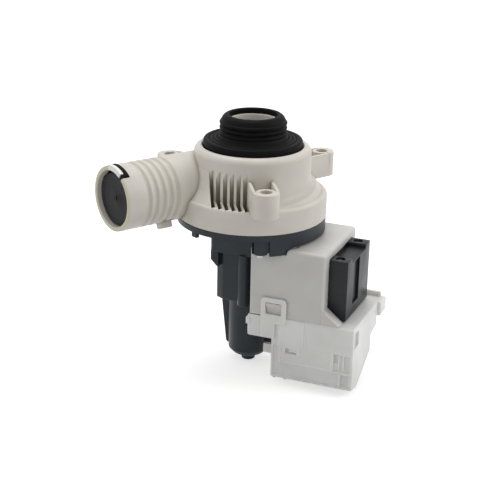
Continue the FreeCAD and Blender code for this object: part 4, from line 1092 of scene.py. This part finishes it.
cover = soft_box("coil_cover", COVER_X, (-COVER_Y, COVER_Y), COVER_Z, 2.6,
                 lambda a, b: far_corner(a, b) or level_at(COVER_Z[1])(a, b), 6)
room = soft_box("cover_room", (COVER_X[0] - 1, COVER_X[1] - COVER_WALL),
                (COVER_WALL - COVER_Y, COVER_Y - COVER_WALL),
                (COVER_Z[0] - 1, COVER_Z[1] - COVER_WALL), 1.0,
                lambda a, b: a.z + b.z > 2 * COVER_Z[1] - 6 or far_corner(a, b))
window = soft_box("yoke_window", (COVER_X[1] - COVER_WALL - 1, COVER_X[1] + 1),
                  (-CAP_Y - RUN_GAP, CAP_Y + RUN_GAP),
                  (COVER_Z[0] - 1, CAP_CORNER_TOP + RUN_GAP), 0.6,
                  lambda a, b: abs(a.x - b.x) > 1 and a.z > CAP_CORNER_TOP, 2)
cover = carve(cover, room, window)
extras = []
for side in (-1, 1):
    catch_view = [(-0.5, 0), (2.0, 0), (2.2, -0.3), (2.2, -1.5), (-0.5, -6)]
    extras.append(plate("catch", X, [(side * (COVER_Y + y), CATCH_Z + z)
                                     for y, z in catch_view], *CATCH_X))
    wedge_view = [(COVER_X[1] + x, z) for x, z in ((-1, -50), (11.3, -60), (11.3, -61), (-1, -61))]
    wedge = plate("wedge", Y, wedge_view,
                  *sorted((side * (COVER_Y - 0.1), side * (CAP_Y + RUN_GAP))))
    extras.append(round_off(wedge, 0.4, lambda a, b: min(a.x, b.x) > COVER_X[1] + 1 or
                            (abs(a.x - b.x) > 5 and a.z + b.z > -115), 2))
cover = join(cover, *extras)
rooms = [turn(rod("boss_room", BOSS_R + RUN_GAP, -17.3, 0, SCREW_CIRCLE_R, sides=40), a)
         for a in EAR_TURNS]
rooms.append(rod("can_room", CAN_R + RUN_GAP, COVER_Z[0] - 1, 0, sides=72))
rooms.append(arc_block("apron_room", (RIM_IN - RUN_GAP, FLANGE_R + RUN_GAP),
                       (APRON_BOTTOM - RUN_GAP, 0),
                       (APRON_CORNER - 2, APRON_CORNER + APRON_SWEEP), 12))
finished(carve(cover, *rooms), "motor_cover")

# %% [markdown]
# The hood under the cover shields the terminals. It could be put together from blocks,
# but its side view says nearly all: the slant of its lower edge and the shelf behind it.
# So this view is drawn, pulled out to the hood's length and rounded. The same view, moved
# inwards by the wall, hollows it, and it is opened below for the plugs.

# %% Terminal hood
HOOD_X = (30.0, 89.0)
HOOD_WALL = 2.0
HOOD_ROOM_X = (HOOD_X[0] + HOOD_WALL, HOOD_X[1] - HOOD_WALL)
HOOD_TOP = -61.0
HOOD_BOTTOM = -106.0
TIP = (-22.0, -108.6)
HEEL = (8.2, -92.5)
STEP_Z = -81.0
SHELF = (21.0, -71.5)


def hood_profile(inset):
    """The side view in Y and Z, moved inwards by the wall."""
    return [(-COVER_Y + inset, HOOD_TOP - inset), (-COVER_Y + inset, HOOD_BOTTOM), TIP,
            (HEEL[0] - inset, HEEL[1]), (HEEL[0] - inset, STEP_Z + inset),
            (SHELF[0] - inset, STEP_Z + 3 + inset), (SHELF[0] - inset, SHELF[1] + inset),
            (COVER_Y - inset, SHELF[1] + 1 + inset), (COVER_Y - inset, HOOD_TOP - inset)]


def under_the_top(a, b):
    return min(a.z, b.z) < HOOD_TOP - 1 or abs(a.y - b.y) > 20


hood = plate("terminal_hood", X, hood_profile(0), *HOOD_X)
round_off(hood, 1.1, under_the_top, 4)
hollow = plate("hood_room", X, hood_profile(HOOD_WALL), *HOOD_ROOM_X)
round_off(hollow, 0.7, under_the_top, 2)
front, back = HOOD_WALL - COVER_Y, HEEL[0] - HOOD_WALL
mouth = plate("hood_mouth", X, [(front, HOOD_BOTTOM + 8), (front, TIP[1] - 5),
                                (back, TIP[1] - 5), (back, HEEL[1] + 8)], *HOOD_ROOM_X)
terminal_gap = box("terminal_gap", (38.7, 69.3), (-21.3, -10.7), (HOOD_TOP - 3, HOOD_TOP + 1))
hood = carve(hood, hollow, mouth, terminal_gap)
report(hood)

# %% [markdown]
# On the front a sunk border, a lattice corner and low soft ridges stiffen the wall. They
# could be left to a bump map, but forms of this size throw shadows. So each recess is a
# block with round corners that is carved less than two millimetres deep, and each ridge
# is a low rounded block that is joined on.

# %% Border, lattice, slots and ridges of the hood
FACE = -COVER_Y
SUNK = FACE + 0.9
RIDGE = 0.5
THROUGH = (FACE - 2, SUNK + 1)
RIDGES = (((36.0, 37.4), (-94.2, -79.0)), ((36.0, 75.4), (-94.2, -92.8)),
          ((74.0, 75.4), (-94.2, -79.6)), ((74.0, 87.6), (-80.6, -79.2)),
          ((79.6, 80.9), (-103.6, -93.4)), ((79.6, 87.6), (-94.6, -93.3)))
proud = under(Y, FACE)


def recess(name, x, z, floor=SUNK, corner=0.9):
    """A block that sinks into the front face, with round corners."""
    return soft_box(name, x, (FACE - 1.5, floor), z, corner, along_y, 4)


def ridge(x, z):
    """A soft raised line on the front face."""
    return soft_box("ridge", x, (FACE - RIDGE, SUNK + 0.3), z, 0.4, proud)


border = join(recess("border_low", (31.6, 75.7), (-104.4, -93.5)),
              recess("border_left", (31.6, 37.0), (-95.5, -81.5)),
              recess("border_end", (73.0, 87.2), (-104.4, -93.5), SUNK - 0.02),
              recess("border_corner", (75.7, 87.2), (-95.5, -80.0), SUNK - 0.01))
ribs = [soft_box("lattice", (x, x + 1.0), THROUGH, (-91.2, -78.0), 0.2, along_y, 2)
        for x in (78.9, 82.1)]
ribs.append(soft_box("lattice_cross", (74.0, 89.0), THROUGH, (-94.3, -93.2), 0.2, along_x, 2))
border = carve(border, *ribs)
notch = carve(recess("notch", (41.0, 49.0), (-86.4, -82.6), SUNK + 0.5, 0.5),
              box("notch_step", (43.5, 50.0), THROUGH, (-84.8, -82.0)))
panels = [recess("panel", x, z, SUNK + 0.6, 0.5)
          for x, z in (((75.9, 78.6), (-87.0, -80.4)), ((81.2, 86.4), (-102.6, -95.2)))]
end_slot = soft_box("end_slot", (HOOD_X[1] - 1.6, HOOD_X[1] + 1), (-31.8, -22.3), (-76.0, -64.5),
                    1.0, along_x, 4)
hood = carve(hood, border, notch, end_slot, *panels)
notch_frame = carve(ridge((39.4, 51.0), (-88.2, -80.9)),
                    box("notch_room", (40.9, 49.5), THROUGH, (-86.7, -82.4)))
hood = join(hood, notch_frame, *[ridge(x, z) for x, z in RIDGES])
report(hood)

# %% [markdown]
# The loops snap over the cover's catches and hold the hood. A loop is a rounded frame on
# a broad foot; the front one carries on into a leg and a side wing. It could be bent from
# a strip, but a smaller block carved out of a larger one leaves an even band. The rear
# loop is a mirrored frame on a shorter foot.

# %% Loops, wing and small parts of the hood
LOOP_X = (22.6, 41.0)
LOOP_BAND = 3.4
LOOP_TOP = -47.0
BAND_FACE = FACE - 0.15
BAND_OUT = BAND_FACE - 2.2
FOOT_Y = (BAND_OUT, FACE + HOOD_WALL)
FOOT_TOP = HOOD_TOP - 0.15
STUD_BOTTOM = HOOD_BOTTOM - 1.2


def loop_frame(name, foot_x, foot_z):
    """One loop on the front face; its foot reaches into the hood's wall."""
    outside = soft_box(name, LOOP_X, (BAND_OUT, BAND_FACE), (-64.0, LOOP_TOP), 2.6,
                       lambda a, b: along_y(a, b) and min(a.z, b.z) > -60, 6)
    eye = soft_box("loop_eye", (LOOP_X[0] + LOOP_BAND, LOOP_X[1] - LOOP_BAND),
                   (BAND_OUT - 1, FACE + 3), (-59.0, LOOP_TOP - LOOP_BAND), 1.3, along_y, 5)
    foot = soft_box("loop_foot", foot_x, FOOT_Y, (foot_z, FOOT_TOP), 0.8, proud)
    return join(soften(carve(outside, eye), 0.45, angle=60), foot)


front_loop = loop_frame("front_loop", (LOOP_X[0], 33.0), -76.0)
rear_loop = tidy_mesh(mirrored(loop_frame("rear_loop", LOOP_X, -70.5)))
hood = join(
    hood,
    soft_box("side_wing", (12.0, 32.0), (FACE, FACE + 6.0), (-77.5, -62.0), 1.6, under(X, 14), 4),
    front_loop, soft_box("loop_shelf", LOOP_X, FOOT_Y, (-65.4, FOOT_TOP), 0.8, proud), rear_loop,
    soft_box("wing_bump", (11.2, 14.5), (FACE - 0.9, FACE + 4.0), (-69.5, -64.0), 0.8),
    soft_box("front_pad", (35.0, 54.0), (FACE - 0.9, FACE + 1), (-81.5, FOOT_TOP), 0.7, proud),
    soft_box("end_latch", (HOOD_X[1] - 1, HOOD_X[1] + 2.4), (21.0, COVER_Y), (-71.0, HOOD_TOP),
             0.8, over(X, HOOD_X[1])),
    soft_box("rear_rib", (73.5, 88.0), (COVER_Y - 3.0, COVER_Y), (-63.0, -57.2), 1.3,
             lambda a, b: min(a.z, b.z) > HOOD_TOP or (upright(a, b) and a.x > 87), 4),
    soft_box("side_tab", (18.5, 31.0), (-19.0, -16.0), (-96.0, -89.5), 0.8, under(X, 30)),
    *[round_off(rod("stud", 1.2, STUD_BOTTOM, HOOD_BOTTOM + 2, x, FACE + 1.9, sides=20), 0.4,
                level_at(STUD_BOTTOM), 2) for x in (32.5, 40.5)])
# The hood's paler finish is painted light from below and through its thin wall.
finished(hood, "terminal_shroud", finish="hood_plastic_painted_paler")

# %% [markdown]
# The black cap covers the yoke: a block with raised corners for the clamping bolts, a
# long slot in its face, and a hollow that takes the steel. It could be one block with its
# middle cut down, but rounded blocks that are joined bring their soft edges with them.

# %% Yoke cap
CAP_X = (COVER_X[1] - COVER_WALL, 79.7)
CAP_Z = (-60.0, -20.0)
BOLT_X = 72.5
BOLT_Y = 19.6
CAP_CORNER = 10.0

cap = soft_box("yoke_lid", CAP_X, (-CAP_Y, CAP_Y), CAP_Z, 0.7,
               lambda a, b: max(a.x, b.x) > CAP_X[0] + 1)
raised = [soft_box("raised", CAP_X, (y, y + CAP_CORNER), (CAP_Z[1] - 2, CAP_CORNER_TOP), 0.7,
                   lambda a, b: min(a.z, b.z) > CAP_Z[1] or (upright(a, b) and a.x > CAP_X[1] - 1))
          for y in (-CAP_Y, CAP_Y - CAP_CORNER)]
cap = join(cap, *raised)
cuts = [box("yoke_room", (CAP_X[0] - 1, 77.45), (-23.15, 23.15), STACK_ROOM),
        soft_box("cap_slot", (CAP_X[1] - 1.8, CAP_X[1] + 1), (-11.0, 2.0), (-52.0, -21.0), 0.5,
                 along_x)]
for y in (-BOLT_Y, BOLT_Y):
    cuts.append(rod("bolt_way", 2.05, STACK[1] - 2, CAP_CORNER_TOP + 1, BOLT_X, y, 32))
    cuts.append(rod("bolt_well", 3.4, -20.5, CAP_CORNER_TOP + 1.5, BOLT_X, y))
finished(carve(cap, *cuts), "yoke_cap")

# %% [markdown]
# The check valve sits in the mouth and keeps the water from running back: a rubber ring
# behind a round flap. The ring's strap comes up through the gap, goes over the tongue and
# stands a little proud of the barrel. The strap could follow a curve, but it keeps to the
# barrel's round, so it is made of parts of rings. Rooms for the hinge and the flap are
# carved, so that the flap can swing.

# %% Valve ring and strap
STRAP_MIDDLE = 77.0
STRAP_HALF = 24.0
FLAP_FACE = 3.2
FLAP_T = 2.0
FLAP_R = 18.7
RING_DEPTH = FLAP_FACE + FLAP_T + 0.25
RING_IN = 16.4
RING_OUT = MOUTH_BORE_R - 0.15
HINGE_R = 17.7
HINGE_HALF = 5.2


def at_strap(piece):
    """Turns a piece of the valve to the strap's direction and carries it to the outlet."""
    return at_outlet(turn(piece, STRAP_MIDDLE))


def valve_box(name, x, y, depths):
    return box(name, x, y, (inside(max(depths)) + EAR_TOP, inside(min(depths)) + EAR_TOP))


def hinge_bar(name, radius, half):
    level = inside(FLAP_FACE + FLAP_T / 2) + EAR_TOP
    return bar(name, radius, (HINGE_R, -half, level), (HINGE_R, half, level), 24)


def strap_part(name, radius, depths, last=STRAP_HALF, steps=24):
    """Part of a ring between two depths inside the mouth, from the strap's first edge."""
    return arc_block(name, radius, (inside(depths[0]), inside(depths[1])), (-STRAP_HALF, last),
                     steps, lift=0)


ring = turned("valve_seat_ring", [
    (RING_IN, inside(8)), (RING_OUT, inside(8)), (RING_OUT, inside(RING_DEPTH + 0.2)),
    (RING_OUT - 0.3, inside(RING_DEPTH)), (RING_IN + 0.5, inside(RING_DEPTH)),
    (RING_IN, inside(RING_DEPTH + 0.5)), (RING_IN, inside(8))], 96, lift=0)
strap = soften(strap_part("strap", (RING_OUT - 1, MOUTH_R + 0.75), (6.0, 2.85)), 0.45, 3)
leg = soften(strap_part("strap_leg", (MOUTH_BORE_R + 0.15, MOUTH_R + 0.5), (6.0, 0.3),
                        6.3 - STRAP_HALF, 6), 0.3)
ring = join(ring, strap_part("strap_tie", (RING_IN + 1, RING_OUT), (7.9, 4.85)), strap, leg)
flap_room = carve(rod("flap_room", FLAP_R + 0.3, inside(RING_DEPTH) + EAR_TOP,
                      inside(-1) + EAR_TOP, sides=96),
                  valve_box("flap_keep", (8.1, 30), (-30, 30), (9, -2)))
ring = carve(ring, valve_box("swing_room", (0, HINGE_R + 0.6), (-7.2, 7.2), (RING_DEPTH, -1)),
             hinge_bar("bead_room", 1.3, HINGE_HALF + 0.3), flap_room)
finished(at_strap(ring), "valve_ring", 40.0)

# %% [markdown]
# The flap is a thin rubber disc with a raised rim, a narrow neck to its hinge bead, and a
# button in its middle. One full disc would meet the mouth on its hinged side as it opens.
# So two discs are joined, a large one without its hinged side and a smaller one that
# clears the mouth.

# %% Valve flap and button
low, high = inside(FLAP_FACE + FLAP_T), inside(FLAP_FACE)


def disc(name, radius):
    return turned(name, [(0, low), (radius - 0.3, low), (radius, low + 0.3), (radius, high - 0.35),
                         (radius - 0.35, high), (radius - 1.3, high), (radius - 1.7, high - 0.3),
                         (3.4, high - 0.3), (2.9, high), (0, high)], 120, lift=0)


flap = carve(disc("flap_disc", FLAP_R), valve_box("hinge_side", (8.1, 30), (-30, 30), (9, -2)))
neck_bar = valve_box("flap_neck", (8, HINGE_R), (-HINGE_HALF, HINGE_HALF),
                     (FLAP_FACE + FLAP_T - 0.1, FLAP_FACE + 0.1))
flap = join(flap, disc("hinge_disc", 17.1), neck_bar, hinge_bar("hinge_bead", 1.0, HINGE_HALF))
finished(at_strap(flap), "valve_flap")
button = turned("flap_stud", [(0, high), (1.7, high), (1.7, high + 0.4), (1.45, high + 0.7),
                              (0.9, high + 0.7), (0.7, high + 0.45), (0, high + 0.4)], 32, lift=0)
finished(at_strap(button), "flap_button")

# %% [markdown]
# The impeller throws the water outwards. It has a back plate, a hollow hub and six
# straight blades. An Array modifier could repeat the blades, but one blade is made from
# its side view and copied round, so each is a closed form that is joined to the hub. The
# impeller turns, so it rides on its own body.

# %% Impeller
BLADES = 6
wheel = turned("pump_wheel", [(7.4, 3), (20.3, 3), (20.5, 3.2), (20.5, 4.4), (20.1, 4.8),
                              (9.9, 4.8), (9.4, 5.3), (9.4, 17.2), (8.6, 18.0), (2.04, 18.0),
                              (2.04, 15.6), (7.4, 15.6), (7.4, 3)], 96)
blade = plate("blade", Y, [(8.4, 3.1), (20.4, 3.1), (20.4, 21.0), (18.5, 24.0),
                           (12.4, 24.0), (9.4, 18.4), (8.4, 17.5)], -0.9, 0.9)
round_off(blade, 0.45, lambda a, b: abs(a.y - b.y) < 0.01 and min(a.x, b.x) > 9, 2)
blades = [turn(copy_of(blade, "blade"), 360 // BLADES * i) for i in range(BLADES)]
bpy.data.objects.remove(blade)
dog = arc_block("wheel_dog", (4.5, 7.8), (5.7, 15.8), (155, 205), 10)
finished(join(wheel, dog, *blades), "impeller")

# %% [markdown]
# Three screws hold the housing to the casing, and two bolts clamp the yoke. A six-sided
# cylinder alone looks like a toy, because a real head is chamfered at its corners. So a
# six-sided rod keeps only what it shares with a rounded drum, and stands on a round
# shank. The retaining nut on the shaft is the same rod with a hole.

# %% Screws, bolts and nut
def hexagon(name, across, low_z, high_z, x=0.0, y=0.0):
    """A six-sided rod with chamfered corners at both ends."""
    radius = across / sqrt(3)
    piece = turn(rod(name, radius, low_z, high_z, sides=6), 30)
    drum = rod("chamfer", radius * 0.99, low_z, high_z)
    round_off(drum, 0.12 * across, lambda a, b: abs(a.z - b.z) < 0.01, 2)
    combine(piece, [drum], "INTERSECT")
    piece.location = Vector((x, y, 0)) * MM
    return settle(piece)


def screw(name, head, shank_r, shank, x, y=0.0):
    """A hexagon head between two levels on a shank between two levels."""
    return join(hexagon(name, *head, x, y), rod("shank", shank_r, *shank, x, y, 32))


def joined(name, pieces):
    """Pieces that share one name, such as a set of screws."""
    whole = join(*pieces)
    whole.name = name
    return whole


screws = []
for i, a in enumerate(EAR_TURNS):
    hex_screw = screw(f"screw_{i}", (5.0, -17.0, -14.8), 1.75, (-16.0, 12.0), SCREW_CIRCLE_R)
    socket = rod("socket", 1.4, -18.0, -15.9, SCREW_CIRCLE_R, sides=6)
    screws.append(turn(carve(hex_screw, socket), a))
finished(joined("casing_screws", screws), "housing_screws", 40.0)
bolts = [screw(f"clamp_bolt_{i}", (5.5, -20.5, -18.5), 1.9, (-57.0, -19.5), BOLT_X, y)
         for i, y in enumerate((-BOLT_Y, BOLT_Y))]
finished(joined("clamp_bolts", bolts), "yoke_bolts", 40.0)
nut = carve(hexagon("wheel_nut", 7.6, 18.3, 19.3), rod("nut_hole", 2.0, 18, 20))
finished(nut, "impeller_clip", 40.0)

# %% [markdown]
# The terminals are two flat tabs in an insulating block, which the plug is pushed over. A
# tab has a tapered end and a small hole. The taper could be a bevel, but it is simpler to
# draw it as part of the outline, and then only the edges of the end are rounded.

# %% Terminals
TAB_X = (46.0, 62.0)
TAB_Y = -16.0
TAB_HALF = 3.15

tabs = []
for x in TAB_X:
    tab = plate("tab", Y, [(x - TAB_HALF, -63.0), (x - TAB_HALF, -91.8), (x - 1.95, -93.0),
                           (x + 1.95, -93.0), (x + TAB_HALF, -91.8), (x + TAB_HALF, -63.0)],
                TAB_Y - 0.4, TAB_Y + 0.4)
    round_off(tab, 0.15, lambda a, b: min(a.z, b.z) < -91 and abs(a.y - b.y) < 0.01, 2)
    tabs.append(carve(tab, bar("tab_hole", 0.9, (x, TAB_Y - 2, -89), (x, TAB_Y + 2, -89))))
finished(joined("contact_tabs", tabs), "spade_terminals")
block = soft_box("contact_block", (39.0, 69.0), (-21.0, -11.0), (-72.0, -60.7), 0.5,
                 lambda a, b: max(a.z, b.z) < -61 or upright(a, b))
block = carve(block, *[soft_box("tab_slot", (x - TAB_HALF - GAP, x + TAB_HALF + GAP),
                                (TAB_Y - 0.55, TAB_Y + 0.55), (-73.0, -63.0), 0.2, upright, 2)
                       for x in TAB_X])
finished(block, "terminal_block")

# %% [markdown]
# A winding is enamelled wire that is wound round a pole arm. A block with stripes would
# do from afar, but the turns are round. So one turn is drawn as a loop round the arm, is
# given the wire's thickness as a curve, and is repeated along the arm. A plain core
# behind the turns closes the view between them. The front winding is mirrored, which
# turns a mesh inside out, so its normals are worked out again.

# %% Windings
COIL_X = (22.75, 62.45)
COIL_Y = (5.9, 30.1)
COIL_Z = (-60.7, -19.9)
ARM_ROOM = ((11.5, 24.5), (-58.5, -25.5))
WIRE = 0.8
UPPER_ROUND = 4.0
LOWER_ROUND = 1.0


def loop_corners(inset, steps):
    """A rectangle with round corners in Y and Z, as places in metres."""
    places = []
    for y, z, first in ((COIL_Y[1], COIL_Z[1], 0), (COIL_Y[0], COIL_Z[1], 90),
                        (COIL_Y[0], COIL_Z[0], 180), (COIL_Y[1], COIL_Z[0], 270)):
        r = UPPER_ROUND if z == COIL_Z[1] else LOWER_ROUND
        middle = (y - copysign(inset + r, y - 18), z - copysign(inset + r, z + 40))
        places += [point(COIL_X[0] + WIRE / 2, *spot)
                   for spot in bend(*middle, r, first, first + 90, steps)]
    return places


corners = loop_corners(WIRE / 2, 5)
turn_wire = drawn("coil_turns", corners + [corners[0]])
merge_doubles()
hold(turn_wire)
bpy.ops.object.convert(target="CURVE")
turn_wire.data.bevel_depth = WIRE / 2 * MM
turn_wire.data.bevel_resolution = 1
bpy.ops.object.convert(target="MESH")
turns = int((COIL_X[1] - COIL_X[0]) / WIRE)
apply_modifier(turn_wire, "ARRAY", count=turns, use_relative_offset=False,
               use_constant_offset=True, constant_offset_displace=(WIRE * MM, 0, 0))
core = soft_box("coil_core", (COIL_X[0] + 0.1, COIL_X[1] - 0.1),
                (COIL_Y[0] + 0.4, COIL_Y[1] - 0.4), (COIL_Z[0] + 0.4, COIL_Z[1] - 0.4), 3.4,
                lambda a, b: abs(a.x - b.x) > 5 and min(a.z, b.z) > -30, 4)
core = carve(core, box("arm_room", (COIL_X[0] - 1, COIL_X[1] + 1), *ARM_ROOM))
hold(core)
turn_wire.select_set(True)
bpy.ops.object.join()
rear_coil = named("rear_coil")
front_coil = mirrored(copy_of(rear_coil, "front_coil"))
mode("EDIT")
all_corners()
bpy.ops.mesh.normals_make_consistent(inside=False)
mode("OBJECT")
finished(rear_coil, "winding_rear", 60.0)
finished(front_coil, "winding_front", 60.0)

# %% [markdown]
# The studio is a white floor and a white surround, as in a catalogue picture. More light
# would make them white, but it would bleach the pump as well. So what the camera sees of
# them is white by their own colour, and no extra light falls on the pump.

# %% White floor and surround
WHITE = (1, 1, 1, 1)
FLOOR_GREY = (0.70, 0.70, 0.70, 1.0)
FLOOR_GLOW = 0.60
SKY_LIGHT = 0.52


def watched(finish):
    """1 where the camera looks, by itself or through metal and glass."""
    seen, mirror, through = (finish.add("LightPath", output=f"Is {ray} Ray")
                             for ray in ("Camera", "Glossy", "Transmission"))
    return seen + mirror + through


deselect()
floor_level = cad_box[0][2]
bpy.ops.mesh.primitive_circle_add(vertices=64, radius=4.0, fill_type="NGON",
                                  location=(0, 0, floor_level))
floor = bpy.context.object
floor.name = "studio_floor"
paper = new_finish("white_paper")
sheet = paper.add("BsdfDiffuse", {"Color": FLOOR_GREY})
glow = paper.add("Emission", {"Color": WHITE, "Strength": FLOOR_GLOW})
lit = paper.add("AddShader", {0: sheet, 1: glow})
paper.add("OutputMaterial", {"Surface": paper.add("MixShader", {0: watched(paper), 1: sheet,
                                                                2: lit})})
floor.data.materials.append(paper.owner)

world = bpy.context.scene.world or bpy.data.worlds.new("studio")
bpy.context.scene.world = world
sky = Finish(world)
soft, white = (sky.add("Background", {"Color": WHITE, "Strength": strength})
               for strength in (SKY_LIGHT, 1.0))
sky.add("OutputWorld", {"Surface": sky.add("MixShader", {0: watched(sky), 1: soft, 2: white})})
print("floor at", floor_level)

# %% [markdown]
# The picture's light comes from the upper right: the faces turned that way are the
# brightest, the tops follow, and the fronts are a soft grey. A sun could do that, but its
# shadows are hard, so three broad round lamps are used.

# %% Lamps
LIT_PLACE = Vector((0.0, -0.01, -0.05))


def lamp(name, place, size, power):
    bpy.ops.object.light_add(type="AREA", location=place)
    thing = bpy.context.object
    thing.name = name
    thing.rotation_euler = (LIT_PLACE - Vector(place)).to_track_quat("-Z", "Y").to_euler()
    thing.data.shape = "DISK"
    thing.data.size = size
    thing.data.energy = power


deselect()
lamp("right_lamp", (1.2, 0.35, 0.75), 0.9, 6.5)
lamp("top_lamp", (-0.3, 0.25, 1.3), 0.9, 8.0)
lamp("front_lamp", (-1.1, -0.8, 0.6), 1.1, 2.6)
bpy.context.scene.view_settings.view_transform = "Standard"
print("lamps lit")
